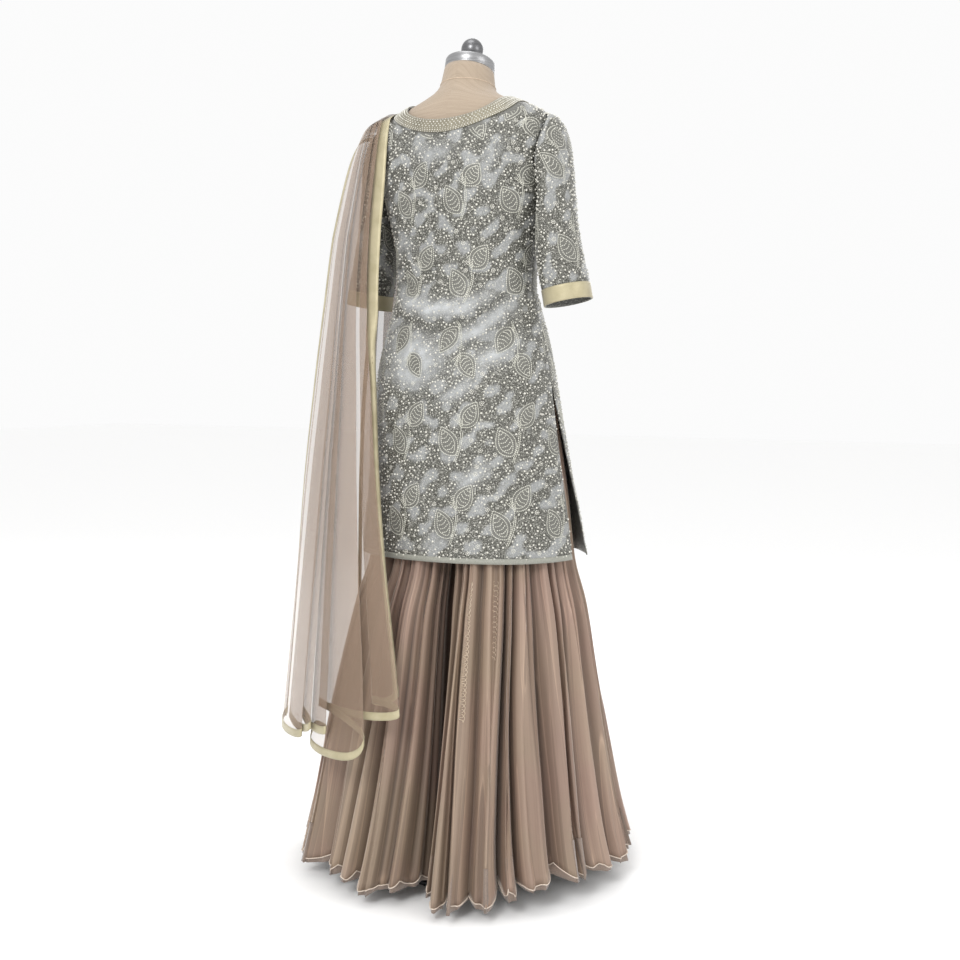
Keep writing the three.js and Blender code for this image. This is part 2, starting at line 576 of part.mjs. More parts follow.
const SCARF = {
  folds: 5, samples: 4, ribbonShare: 0.06, archFoot: 1310, archSteps: 5, archRound: 0.55,
  ridgeInner: 129, ridgeOuter: 204, ridgeY: 2.5, ridgeGap: 0.8, ridgeFold: 5, frontLift: 30,
};
const SCARF_ROWS = [0, 0.017, 0.15, 0.32, 0.49, 0.66, 0.83]; // shares of the way from the hem up to the arch
// Height of the scarf's hem across its width: the folds end at different heights.
const SCARF_HEM = profile(
  [
    { across: 0, z: 350 }, { across: 0.28, z: 334 }, { across: 0.4, z: 290 }, { across: 0.52, z: 215 },
    { across: 0.68, z: 240 }, { across: 1, z: 256 },
  ],
  "across",
);
// The height of the scarf where it crosses the shoulder, by how far out it lies.
const SCARF_TOP = profile(
  [
    { x: 93, top: 1416 }, { x: 127, top: 1402.3 }, { x: 145, top: 1394 },
    { x: 163, top: 1382.5 }, { x: 181, top: 1376 }, { x: 195, top: 1362 }, { x: 206, top: 1345 },
  ],
  "x",
);

// Where a column lies across the scarf: a ribbon's width in from each edge, then evenly over the folds.
function scarfAcross(j) {
  const between = SCARF.folds * SCARF.samples;
  if (j === 0 || j === between + 2) return j === 0 ? 0 : 1;
  return mix(SCARF.ribbonShare, 1 - SCARF.ribbonShare, (j - 1) / between);
}

function scarfFold(across) {
  const share = (across - SCARF.ribbonShare) / (1 - 2 * SCARF.ribbonShare);
  return share > 0 && share < 1 ? foldHeight(share * SCARF.folds) : 0;
}

function scarfFallPoint(across, z, face) {
  const row = scarfAt(z);
  const turn = degrees(mix(row.innerTurn, row.outerTurn, across));
  const reach = mix(row.innerReach, row.outerReach, across) + row.fold * scarfFold(across);
  return point(reach * Math.sin(turn), face * reach * Math.cos(turn), z);
}

function scarfPoint(row, j) {
  const across = scarfAcross(j);
  if (row.share !== undefined) {
    const hem = SCARF_HEM(across).z + (row.part < 0 ? SCARF.frontLift : 0);
    const at = scarfFallPoint(across, mix(hem, SCARF.archFoot, row.share), row.part);
    if (row.part < 0) at.y -= bustEase(at.z);
    return at;
  }
  const foot = scarfPoint({ share: 1, part: row.part }, j);
  const over = Math.sin(row.arch) ** SCARF.archRound;
  const x = mix(foot.x, mix(SCARF.ridgeInner, SCARF.ridgeOuter, across), over);
  const ridge = SCARF_TOP(x).top + NET_CLOTH + SCARF.ridgeGap + SCARF.ridgeFold * scarfFold(across);
  const y = mix(SCARF.ridgeY + row.part * SEAM, foot.y, Math.cos(row.arch));
  return point(x, y, mix(SCARF.archFoot, ridge, over));
}

// How much further forward the front fall hangs than the back fall hangs behind, to clear the bust.
const BUST_EASE = { least: 6, most: 28, z: 1235, spread: 110 };
function bustEase(z) {
  return mix(BUST_EASE.least, BUST_EASE.most, Math.exp(-(((z - BUST_EASE.z) / BUST_EASE.spread) ** 2)));
}

// Rows of one fall from its hem up to the ridge of the shoulder.
// part is 1 for the back and -1 for the front.
function scarfRows(part) {
  const rows = SCARF_ROWS.map((share) => ({ share, part }));
  for (let k = 0; k <= SCARF.archSteps; k += 1) {
    rows.push({ arch: ((Math.PI / 2) * k) / SCARF.archSteps, part });
  }
  return part > 0 ? rows : rows.reverse();
}

function addScarf() {
  const columns = SCARF.folds * SCARF.samples + 3;
  const past = (row, end, before) => scarfPoint(row, end).multiplyScalar(2).sub(scarfPoint(row, before));
  for (const [name, part] of [["back", 1], ["front", -1]]) {
    const rows = scarfRows(part);
    const hem = part > 0 ? 0 : rows.length - 2;
    const at = (i, j) => {
      const k = columns - 1 - j;
      if (k < 0) return past(rows[i], 0, 1);
      if (k > columns - 1) return past(rows[i], columns - 1, columns - 2);
      return scarfPoint(rows[i], k);
    };
    add(`scarf_${name}`, wall(sheet(at, rows.length, columns, NET_CLOTH)), "net");
    const ribbon = sheet(at, rows.length, columns, TRIM_CLOTH, ON_TOP + TRIM_CLOTH);
    const keep = (i, j) => i === hem || j === 0 || j === columns - 2;
    add(`scarf_ribbon_${name}`, wall(ribbon, { keep }), "ribbon");
  }
}

addDressForm();
addTunicPanels();
addSleeves();
addWaistband();
addTrousers();
addScarf();

export default suit;
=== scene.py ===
import json
import math
import bpy
import numpy as np
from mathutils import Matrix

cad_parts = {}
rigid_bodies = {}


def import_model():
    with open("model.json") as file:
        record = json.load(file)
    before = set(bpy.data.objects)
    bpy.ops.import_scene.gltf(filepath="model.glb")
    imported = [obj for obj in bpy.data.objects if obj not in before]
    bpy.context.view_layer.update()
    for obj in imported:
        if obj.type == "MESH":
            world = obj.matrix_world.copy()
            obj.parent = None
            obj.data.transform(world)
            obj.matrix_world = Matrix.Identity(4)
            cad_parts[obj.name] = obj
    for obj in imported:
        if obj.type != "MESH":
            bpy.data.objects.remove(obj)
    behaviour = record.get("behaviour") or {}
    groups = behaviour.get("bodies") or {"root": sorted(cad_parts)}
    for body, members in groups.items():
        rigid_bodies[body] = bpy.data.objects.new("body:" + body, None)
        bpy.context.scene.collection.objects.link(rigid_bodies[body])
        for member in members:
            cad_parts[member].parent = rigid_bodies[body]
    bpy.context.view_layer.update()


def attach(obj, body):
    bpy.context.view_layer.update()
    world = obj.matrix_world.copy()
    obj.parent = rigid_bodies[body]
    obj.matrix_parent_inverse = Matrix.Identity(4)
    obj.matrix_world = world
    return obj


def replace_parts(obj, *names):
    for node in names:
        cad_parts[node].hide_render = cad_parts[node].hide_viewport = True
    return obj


# A beaded tunic, gathered divided trousers and a net scarf on a tailor's dress form.
# All shapes are worked out in millimetres and scaled to metres when a mesh is made.
# The suit faces -Y, so +X is the wearer's left and the camera stands behind.

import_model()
toMetres = 0.001


def mixed(low, high, share):
    return low + (high - low) * share


def easedStep(value, start, end):
    share = np.clip((value - start) / (end - start), 0, 1)
    return share * share * (3 - 2 * share)


def smoothTable(names, rows):
    # Reads a table of named columns at any value of its first column, and never overshoots a row.
    rows = np.array(rows, float)
    key = rows[:, 0]
    values = rows[:, 1:]
    rise = np.diff(values, axis=0) / np.diff(key)[:, None]
    slope = np.zeros_like(values)
    slope[0] = rise[0]
    slope[-1] = rise[-1]
    if len(rows) > 2:
        before = rise[:-1]
        after = rise[1:]
        sameWay = before * after > 0
        total = np.where(sameWay, before + after, 1)
        slope[1:-1] = np.where(sameWay, 2 * before * after / total, 0)
    names = names.split()[1:]

    def read(at):
        at = np.clip(np.asarray(at, float), key[0], key[-1])
        i = np.clip(np.searchsorted(key, at, side="left") - 1, 0, len(key) - 2)
        span = key[i + 1] - key[i]
        share = ((at - key[i]) / span)[..., None]
        span = span[..., None]
        low = values[i]
        high = values[i + 1]
        leave = slope[i] * span
        arrive = slope[i + 1] * span
        bend = 3 * (high - low) - 2 * leave - arrive
        twist = 2 * (low - high) + leave + arrive
        found = low + share * (leave + share * (bend + share * twist))
        return {name: found[..., k] for k, name in enumerate(names)}

    return read


def stacked(x, y, z):
    return np.stack(np.broadcast_arrays(x, y, z), axis=-1).astype(float)


def unit(vectors):
    return vectors / np.maximum(np.linalg.norm(vectors, axis=-1, keepdims=True), 1e-9)


def softNoise(points, size, seed):
    # Smooth bumps between -1 and 1 of about the given size, the same in every run.
    rng = np.random.default_rng(seed)
    total = 0
    for _ in range(7):
        way = unit(rng.normal(size=3)) * 2 * math.pi / (size * rng.uniform(0.7, 1.5))
        total = total + np.sin(points @ way + rng.uniform(0, 2 * math.pi))
    return np.tanh(total / 2.2)


def creaseHeight(across, height, creases):
    # Soft ridges and troughs along given lines: how far each point moves out.
    total = np.zeros(np.broadcast(across, height).shape)
    for out, wide, line in creases:
        line = np.array(line, float)
        lengths = np.linalg.norm(np.diff(line, axis=0), axis=1)
        starts = np.concatenate([[0], np.cumsum(lengths)])
        nearest = np.full(total.shape, 1e9)
        along = np.zeros(total.shape)
        for k, length in enumerate(lengths):
            step = (line[k + 1] - line[k]) / length
            share = np.clip((across - line[k, 0]) * step[0] + (height - line[k, 1]) * step[1], 0, length)
            away = np.hypot(across - line[k, 0] - share * step[0], height - line[k, 1] - share * step[1])
            closer = away < nearest
            nearest = np.where(closer, away, nearest)
            along = np.where(closer, (starts[k] + share) / starts[-1], along)
        taper = np.sin(math.pi * np.clip(along, 0.02, 0.98)) ** 0.7
        total = total + out * taper * np.exp(-(nearest / wide) ** 2)
    return total


def addPiece(name, points, faces, material, slot=None, uv=None, smooth=True):
    mesh = bpy.data.meshes.new(name)
    mesh.from_pydata((np.asarray(points) * toMetres).tolist(), [], np.asarray(faces).tolist())
    mesh.polygons.foreach_set("use_smooth", np.broadcast_to(smooth, len(mesh.polygons)).tolist())
    if uv is not None:
        layer = mesh.uv_layers.new(name="cloth")
        layer.data.foreach_set("uv", (np.asarray(uv, np.float32) * toMetres).ravel())
    mesh.materials.append(material)
    mesh.update()
    piece = bpy.data.objects.new(name, mesh)
    bpy.context.collection.objects.link(piece)
    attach(piece, "root")
    return piece


def markPoints(piece, name, values):
    attribute = piece.data.attributes.new(name, "FLOAT", "POINT")
    attribute.data.foreach_set("value", values.astype(np.float32))


def gridNormals(points, ring=False):
    if ring:
        across = np.roll(points, -1, axis=1) - np.roll(points, 1, axis=1)
    else:
        across = np.gradient(points, axis=1)
    return unit(np.cross(across, np.gradient(points, axis=0)))


def gridFaces(rows, columns, ring=False):
    cells = columns if ring else columns - 1
    i, j = np.meshgrid(np.arange(rows - 1), np.arange(cells), indexing="ij")
    i = i.ravel()
    j = j.ravel()
    right = (j + 1) % columns
    low = i * columns
    high = low + columns
    faces = np.stack([low + j, low + right, high + right, high + j], axis=1)
    corners = np.stack([np.stack([i, j], 1), np.stack([i, j + 1], 1),
                        np.stack([i + 1, j + 1], 1), np.stack([i + 1, j], 1)], axis=1)
    return faces, corners


def flatPlaces(points, ring=False):
    # Where each grid point lies in the flat cloth: across from its middle, and up from its lowest row.
    if ring:
        points = np.concatenate([points, points[:, :1]], axis=1)
    stepAcross = np.linalg.norm(np.diff(points, axis=1), axis=2)
    across = np.concatenate([np.zeros((len(points), 1)), np.cumsum(stepAcross, axis=1)], axis=1)
    across = across - across[:, across.shape[1] // 2][:, None]
    stepUp = np.linalg.norm(np.diff(points, axis=0), axis=2)
    up = np.concatenate([np.zeros((1, points.shape[1])), np.cumsum(stepUp, axis=0)], axis=0)
    return across, up


def addShell(name, points, thickness, material, slot=None, ring=False, lift=0.0, combed=False):
    # A closed thin wall behind a grid of outer points, with its flat places as UVs.
    rows, columns = points.shape[:2]
    normals = gridNormals(points, ring)
    outer = points + normals * lift
    inner = outer - normals * thickness
    faces, corners = gridFaces(rows, columns, ring)
    back = faces[:, ::-1] + rows * columns
    backCorners = corners[:, ::-1]
    parts = [faces, back]
    places = [corners, backCorners]
    cells = columns if ring else columns - 1
    offset = rows * columns

    def addRim(a, b, cornerA, cornerB):
        parts.append(np.stack([b, a, a + offset, b + offset], axis=1))
        places.append(np.stack([cornerB, cornerA, cornerA, cornerB], axis=1))

    j = np.arange(cells)
    right = (j + 1) % columns
    low = np.zeros_like(j)
    high = low + rows - 1
    addRim(j, right, np.stack([low, j], 1), np.stack([low, j + 1], 1))
    addRim(high * columns + right, high * columns + j,
           np.stack([high, j + 1], 1), np.stack([high, j], 1))
    if not ring:
        i = np.arange(rows - 1)
        first = np.zeros_like(i)
        last = first + columns - 1
        addRim((i + 1) * columns, i * columns,
               np.stack([i + 1, first], 1), np.stack([i, first], 1))
        addRim(i * columns + last, (i + 1) * columns + last,
               np.stack([i, last], 1), np.stack([i + 1, last], 1))
    across, up = flatPlaces(points, ring)
    if combed:
        across = np.broadcast_to(across.mean(axis=0), across.shape)  # the weave follows the folds
    picked = np.concatenate(places)
    uv = np.stack([across[picked[..., 0], picked[..., 1]], up[picked[..., 0], picked[..., 1]]], axis=-1)
    vertices = np.concatenate([outer.reshape(-1, 3), inner.reshape(-1, 3)])
    allFaces = np.concatenate(parts)
    smooth = np.arange(len(allFaces)) < 2 * len(faces)  # the cut edges stay sharp
    return addPiece(name, vertices, allFaces, material, slot, uv.reshape(-1, 2), smooth)


def addTurned(name, outline, sides, material, slot=None, place=None):
    # A turned piece from pairs of radius and height, closed on its axis.
    outline = np.array(outline, float)
    turn = np.linspace(0, 2 * math.pi, sides, endpoint=False)
    rings = outline[1:-1]
    points = stacked(rings[:, :1] * np.cos(turn), rings[:, :1] * np.sin(turn), rings[:, 1:] + 0 * turn)
    faces, _ = gridFaces(len(rings), sides, ring=True)
    points = points.reshape(-1, 3)
    ends = np.array([[0, 0, outline[0, 1]], [0, 0, outline[-1, 1]]])
    points = np.concatenate([points, ends])
    if place is not None:
        points = place(points)
    return addPiece(name, points, asFaces(faces, endFans(len(rings), sides)), material, slot)


def endFans(rows, columns):
    # Triangles that close the first and the last ring on two points that follow the grid's.
    j = np.arange(columns)
    right = (j + 1) % columns
    top = (rows - 1) * columns
    first = rows * columns
    return np.concatenate([np.stack([right, j, np.full(columns, first)], 1),
                           np.stack([top + j, top + right, np.full(columns, first + 1)], 1)])


def asFaces(quads, triangles):
    # Triangles for both kinds, so that one array holds them.
    split = np.concatenate([quads[:, [0, 1, 2]], quads[:, [0, 2, 3]]])
    return np.concatenate([split, triangles])


def addTube(name, points, radius, material, slot=None, sides=6, closedLoop=False):
    # A thread or cord along a line of points.
    points = np.asarray(points, float)
    if closedLoop:
        along = unit(np.roll(points, -1, axis=0) - np.roll(points, 1, axis=0))
    else:
        along = unit(np.gradient(points, axis=0))
    level = unit(np.cross(along, [0, 0, 1.0]) + 1e-6)
    other = np.cross(level, along)
    turn = np.linspace(0, 2 * math.pi, sides, endpoint=False)
    ringOut = level[:, None] * np.cos(turn)[None, :, None] + other[:, None] * np.sin(turn)[None, :, None]
    rings = points[:, None] + radius * ringOut
    if closedLoop:
        rings = np.concatenate([rings, rings[:1]])
    faces, _ = gridFaces(len(rings), sides, ring=True)
    return addPiece(name, rings.reshape(-1, 3), faces, material, slot)


def newMaterial(name, sockets):
    made = bpy.data.materials.new(name)
    made.use_nodes = True
    made.node_tree.nodes.clear()
    output = made.node_tree.nodes.new("ShaderNodeOutputMaterial")
    shader = made.node_tree.nodes.new("ShaderNodeBsdfPrincipled")
    made.node_tree.links.new(shader.outputs["BSDF"], output.inputs["Surface"])
    for socket, value in sockets.items():
        shader.inputs[socket].default_value = value
    return made, shader


def addNode(made, kind, inputs=None, **settings):
    # Inputs are by name or by place, and a socket is joined while a number or colour is set.
    node = made.node_tree.nodes.new(kind)
    for name, value in settings.items():
        setattr(node, name, value)
    for name, value in (inputs or {}).items():
        if isinstance(value, bpy.types.NodeSocket):
            made.node_tree.links.new(value, node.inputs[name])
        else:
            node.inputs[name].default_value = value
    return node


def colourRamp(made, source, stops):
    ramp = addNode(made, "ShaderNodeValToRGB", {"Fac": source})
    while len(ramp.color_ramp.elements) < len(stops):
        ramp.color_ramp.elements.new(0.5)
    for element, (position, colour) in zip(ramp.color_ramp.elements, stops):
        element.position = position
        element.color = (*colour, 1)
    return ramp.outputs["Color"]


def colourMix(made, share, low, high, blend="MIX"):
    low = (*low, 1) if isinstance(low, tuple) else low
    values = {0: share, 6: low, 7: high}
    return addNode(made, "ShaderNodeMix", values, data_type="RGBA", blend_type=blend).outputs[2]


def mathNode(made, operation, first, second):
    return addNode(made, "ShaderNodeMath", {0: first, 1: second}, operation=operation).outputs[0]


def noise(made, place, scale, detail=2.0):
    values = {"Vector": place, "Scale": scale, "Detail": detail}
    return addNode(made, "ShaderNodeTexNoise", values).outputs["Fac"]


def streaks(made, place, stretch, detail):
    # Noise drawn out along one way of the cloth, by a scale for each way.
    drawn = addNode(made, "ShaderNodeMapping", {"Vector": place, "Scale": stretch})
    return noise(made, drawn.outputs["Vector"], 1.0, detail)


def ribs(made, place, scale, distortion, way):
    values = {"Vector": place, "Scale": scale, "Distortion": distortion}
    return addNode(made, "ShaderNodeTexWave", values, bands_direction=way).outputs["Fac"]


def cells(made, place, scale, randomness):
    values = {"Vector": place, "Scale": scale, "Randomness": randomness}
    return addNode(made, "ShaderNodeTexVoronoi", values)


def marked(made, name):
    return addNode(made, "ShaderNodeAttribute", attribute_name=name).outputs["Fac"]


def objectPlace(made):
    return addNode(made, "ShaderNodeTexCoord").outputs["Object"]


def clothPlace(made):
    return addNode(made, "ShaderNodeUVMap", uv_map="cloth").outputs["UV"]


def setColour(made, shader, colour):
    made.node_tree.links.new(colour, shader.inputs["Base Color"])


def setBump(made, shader, height, strength, distance):
    bump = addNode(made, "ShaderNodeBump", {"Height": height, "Strength": strength, "Distance": distance})
    made.node_tree.links.new(bump.outputs["Normal"], shader.inputs["Normal"])


def makeBeadedNet():
    # Sequins and seed beads sewn closely on net over satin, plainer in patches and darker in the leaves.
    # Swaths along the fold bulges are left plainer and paler as a painted highlight.
    made, shader = newMaterial("beaded_net", {"Roughness": 0.36, "Metallic": 0.1, "Sheen Weight": 0.1})
    place = objectPlace(made)
    seeds = cells(made, place, 480.0, 0.9)
    tints = addNode(made, "ShaderNodeSeparateColor", {"Color": seeds.outputs["Color"]})
    beadColour = colourRamp(made, tints.outputs[0], [
        (0.0, (0.142, 0.141, 0.120)), (0.45, (0.098, 0.098, 0.082)), (0.75, (0.208, 0.205, 0.178)),
        (1.0, (0.45, 0.44, 0.40))])
    # A dark ring round each seed bead: the dark net ground between the beads, deepened by painted shade
    # between them.
    gapShade = colourRamp(made, seeds.outputs["Distance"], [
        (0.0, (1, 1, 1)), (0.4, (1, 1, 1)), (0.66, (0, 0, 0))])
    beads = colourMix(made, gapShade, (0.044, 0.042, 0.034), beadColour)
    fine = noise(made, place, 900.0)
    satin = colourRamp(made, fine, [(0.3, (0.41, 0.425, 0.435)), (0.7, (0.60, 0.615, 0.625))])
    leafGround = colourRamp(made, fine, [(0.3, (0.098, 0.096, 0.083)), (0.7, (0.165, 0.163, 0.145))])
    # Bare patches and the swaths along the fold bulges show the paler satin; on the swaths it is a painted
    # highlight.
    bareAndLit = marked(made, "bareAndLit")
    ground = colourMix(made, bareAndLit, beads, satin)
    setColour(made, shader, colourMix(made, marked(made, "leaf"), ground, leafGround))
    dome = mathNode(made, "MULTIPLY", seeds.outputs["Distance"], -1.0)
    sunk = mathNode(made, "MULTIPLY", dome, mathNode(made, "SUBTRACT", 1.0, bareAndLit))
    setBump(made, shader, mathNode(made, "ADD", sunk, mathNode(made, "MULTIPLY", fine, 0.15)), 0.8, 0.0009)
    return made


def makeBead(name, low, high, roughness, metallic, coat):
    made, shader = newMaterial(name, {"Roughness": roughness, "Metallic": metallic, "Coat Weight": coat})
    place = objectPlace(made)
    setColour(made, shader, colourRamp(made, noise(made, place, 260.0, 1.0), [(0.36, low), (0.64, high)]))
    setBump(made, shader, noise(made, place, 2200.0, 1.0), 0.15, 0.0002)
    return made


def makeGoldRibbon(name, dark, light):
    # Flat woven metallic ribbon: a fine cross rib, and soft bands of tone along it.
    made, shader = newMaterial(name, {"Roughness": 0.4, "Metallic": 0.35, "Sheen Weight": 0.2})
    place = clothPlace(made)
    weft = ribs(made, place, 210.0, 0.6, "X")
    weave = mathNode(made, "MULTIPLY", weft, ribs(made, place, 260.0, 0.4, "Y"))
    tone = colourRamp(made, noise(made, objectPlace(made), 34.0, 3.0), [(0.3, dark), (0.7, light)])
    threads = colourRamp(made, weave, [(0.0, (0.66, 0.60, 0.44)), (1.0, (1, 1, 1))])
    setColour(made, shader, colourMix(made, 0.55, tone, threads, "MULTIPLY"))
    setBump(made, shader, weave, 0.35, 0.0004)
    return made


def makeGeorgette():
    # Crinkled sheer crepe over a lining, with painted light and shade: paler where a fold stands out, warmer
    # and darker in the valleys.
    made, shader = newMaterial("trouser_georgette", {
        "Roughness": 0.66, "Sheen Weight": 0.55, "Sheen Roughness": 0.28,
        "Sheen Tint": (1.0, 0.86, 0.76, 1)})
    place = clothPlace(made)
    broad = streaks(made, place, (70.0, 2.2, 1.0), 3.0)
    threads = streaks(made, place, (420.0, 5.0, 1.0), 1.0)
    tones = mathNode(made, "ADD", mathNode(made, "MULTIPLY", broad, 0.62),
                     mathNode(made, "MULTIPLY", threads, 0.3))
    paintedFoldLight = mathNode(made, "MULTIPLY", marked(made, "paintedFoldLight"), 0.85)
    tone = colourRamp(made, mathNode(made, "ADD", paintedFoldLight, mathNode(made, "SUBTRACT", tones, 0.2)), [
        (0.14, (0.076, 0.052, 0.040)), (0.42, (0.182, 0.127, 0.096)), (0.8, (0.268, 0.190, 0.145)),
        (1.0, (0.330, 0.242, 0.188))])
    # Thin pale lines along the folds' edges, a painted highlight, with a strip of painted shade on one side.
    for wide, tall, edgeShade, line in ((34.0, 1.1, 0.82, 1.30), (96.0, 1.5, 0.87, 1.24)):
        edgeHighlights = colourRamp(made, streaks(made, place, (wide, tall, 1.0), 0.0), [
            (0.482, (edgeShade,) * 3), (0.492, (line,) * 3), (0.502, (1.02,) * 3), (0.62, (0.97,) * 3)])
        tone = colourMix(made, 1.0, tone, edgeHighlights, "MULTIPLY")
    blush = colourRamp(made, noise(made, objectPlace(made), 5.0), [
        (0.38, (1.0, 0.93, 0.93)), (0.62, (0.98, 1.0, 0.92))])
    setColour(made, shader, colourMix(made, 1.0, tone, blush, "MULTIPLY"))
    crinkle = mathNode(made, "MULTIPLY", noise(made, place, 1400.0), 0.25)
    setBump(made, shader, mathNode(made, "ADD", crinkle, broad), 0.35, 0.0009)
    return made


def makeNet():
    # Fine soft net: see-through, with the faint rib of its mesh.
    made, shader = newMaterial("scarf_net", {
        "Roughness": 0.55, "Sheen Weight": 0.8, "Sheen Roughness": 0.3, "Sheen Tint": (1.0, 0.9, 0.8, 1),
        "Alpha": 0.4})
    place = clothPlace(made)
    setColour(made, shader, colourRamp(made, streaks(made, place, (60.0, 1.5, 1.0), 2.0), [
        (0.3, (0.262, 0.180, 0.124)), (0.7, (0.342, 0.242, 0.172))]))
    setBump(made, shader, cells(made, place, 700.0, 0.25).outputs["Distance"], 0.12, 0.0004)
    return made


def makeLinen():
    made, shader = newMaterial("form_linen", {"Roughness": 0.85, "Sheen Weight": 0.2})
    place = clothPlace(made)
    weave = mathNode(made, "ADD", mathNode(made, "MULTIPLY", ribs(made, place, 330.0, 1.2, "X"), 0.5),
                     mathNode(made, "MULTIPLY", ribs(made, place, 300.0, 1.5, "Y"), 0.5))
    tone = colourRamp(made, streaks(made, place, (25.0, 260.0, 1.0), 3.0), [
        (0.25, (0.345, 0.273, 0.203)), (0.75, (0.43, 0.346, 0.265))])
    shade = colourRamp(made, weave, [(0.1, (0.84, 0.82, 0.78)), (0.8, (1, 1, 1))])
    setColour(made, shader, colourMix(made, 0.8, tone, shade, "MULTIPLY"))
    setBump(made, shader, weave, 0.3, 0.0003)
    return made


def makeBrushedSteel(name, low, high, roughness):
    made, shader = newMaterial(name, {"Metallic": 1.0})
    lines = streaks(made, objectPlace(made), (12.0, 12.0, 1600.0), 3.0)
    setColour(made, shader, colourRamp(made, lines, [(0.3, low), (0.7, high)]))
    rough = mathNode(made, "ADD", mathNode(made, "MULTIPLY", lines, 0.18), roughness)
    made.node_tree.links.new(rough, shader.inputs["Roughness"])
    setBump(made, shader, lines, 0.12, 0.0003)
    return made


def makeThread(name, low, high, roughness=0.6):
    made, shader = newMaterial(name, {"Roughness": roughness, "Sheen Weight": 0.3})
    twist = noise(made, objectPlace(made), 700.0)
    setColour(made, shader, colourRamp(made, twist, [(0.35, low), (0.65, high)]))
    setBump(made, shader, twist, 0.4, 0.0004)
    return made


def makeFloor():
    made, shader = newMaterial("pale_floor", {"Roughness": 0.9})
    setColour(made, shader, colourRamp(made, noise(made, objectPlace(made), 40.0), [
        (0.3, (0.975, 0.975, 0.972)), (0.7, (0.99, 0.99, 0.987))]))
    return made


beadedNet = makeBeadedNet()
pearl = makeBead("bead_pearl", (0.48, 0.47, 0.41), (0.74, 0.72, 0.65), 0.24, 0.0, 0.4)
silverBead = makeBead("bead_silver", (0.23, 0.227, 0.198), (0.47, 0.465, 0.415), 0.32, 0.3, 0.2)
silverCord = makeBead("cord_silver", (0.44, 0.435, 0.37), (0.64, 0.63, 0.555), 0.42, 0.1, 0.1)
goldRibbon = makeGoldRibbon("gold_ribbon", (0.45, 0.405, 0.27), (0.59, 0.54, 0.385))
neckRibbon = makeGoldRibbon("neck_ribbon", (0.20, 0.185, 0.14), (0.30, 0.28, 0.22))
georgette = makeGeorgette()
lining = makeThread("trouser_lining", (0.20, 0.15, 0.12), (0.26, 0.195, 0.155))
scarfNet = makeNet()
linen = makeLinen()
steel = makeBrushedSteel("form_steel", (0.24, 0.24, 0.245), (0.44, 0.44, 0.445), 0.26)
ballSteel = makeBrushedSteel("knob_steel", (0.12, 0.12, 0.125), (0.24, 0.24, 0.245), 0.24)
iron = makeBrushedSteel("stand_iron", (0.06, 0.06, 0.063), (0.10, 0.10, 0.105), 0.42)
hemThread = makeThread("hem_thread", (0.52, 0.42, 0.34), (0.74, 0.64, 0.54))
satinEdge = makeThread("hem_satin", (0.22, 0.22, 0.185), (0.30, 0.30, 0.26), 0.5)
seamThread = makeThread("seam_thread", (0.50, 0.38, 0.27), (0.62, 0.50, 0.37))
print("finishes made")


form = {
    "columns": "z half front back y0 square tilt",
    "sections": [
        (800, 148, 92, 98, 2, 0.04, 0), (850, 156, 96, 107, 2, 0.04, 0),
        (905, 157, 96, 111, 1, 0.04, 0), (960, 149, 92, 102, 0, 0.03, 0),
        (1020, 132, 87, 88, 0, 0.03, 0), (1057, 121, 84, 79, 0, 0.02, 0),
        (1074.5, 118, 83, 77, 0, 0.02, 0), (1092, 119, 84, 77, 0, 0.02, 0),
        (1130, 125, 89, 80, 0, 0.02, 0), (1185, 138, 105, 86, 0, 0.03, 0),
        (1240, 150, 115, 92, 0, 0.05, 0), (1295, 160, 102, 97, 0, 0.05, 0),
        (1338, 167, 86, 90, 2, 0.05, 0), (1365, 167, 78, 81, 3, 0.04, 0),
        (1384, 155, 71, 74, 3, 0.02, 0), (1401, 124, 66, 69, 2, 0, 1), (1414, 90, 61, 64, 0, 0, 3),
        (1425, 66, 54, 56, -3, 0, 6), (1438, 53, 48, 49, -6, 0, 10),
        (1472, 45.5, 45.5, 45.5, -12, 0, 15),
    ],
    "around": 128,
    "rows": 100,
    "seams": (0, 48, 90, 132, 180, 228, 270, 312),  # degrees from the centre back
    "seamDepth": 0.7,
    "seamWidth": 1.3,
    "neckSeam": 1441, "ringSides": 120, "ringLift": 1.6, "ringRadius": 0.7,
    "cap": [(0, 0), (45, 0), (46, 1), (46, 3), (45.6, 3.5), (46, 4), (46, 16), (45.6, 17.5),
            (44.8, 18.8), (43.4, 19.7), (42, 20), (20, 21.2), (0, 22)],
    "capLift": 0.3,
    "knobRadius": 20.5, "knobNeck": 9, "knobStem": 3,
    # Outlines of the turned stand: radius and height.
    "pole": [(0, 50.3), (12, 50.3), (12, 789.7), (13, 790.7), (29, 790.7), (30, 791.7), (30, 798.7),
             (29, 799.7), (0, 799.7)],
    "foot": [(0, 0), (164, 0), (165, 1), (165, 6), (164.4, 7.4), (163, 8), (22, 8.4), (19, 9.5), (18, 12),
             (18, 48), (17.4, 49.4), (16, 50), (0, 50)],
}
formAt = smoothTable(form["columns"], form["sections"])


def sectionPoint(section, turn, z):
    # A point of a level section. Turn 0 is the centre back and a quarter turn the wearer's left.
    full = 1 + section["square"] * np.sin(2 * turn) ** 2
    depth = np.where(np.cos(turn) > 0, section["back"], section["front"])
    x = section.get("x0", 0.0) + section["half"] * full * np.sin(turn)
    y = depth * full * np.cos(turn)
    lean = np.tan(np.radians(section.get("tilt", 0.0)))
    return stacked(x, section["y0"] + y, z + y * lean)


def seatPlace(points):
    # Sets a turned piece on the tilted top of the neck.
    tilt = math.radians(form["sections"][-1][6])
    y = points[:, 1] * math.cos(tilt) - points[:, 2] * math.sin(tilt)
    z = points[:, 1] * math.sin(tilt) + points[:, 2] * math.cos(tilt)
    return stacked(points[:, 0], y + form["sections"][-1][4], z + form["sections"][-1][0])


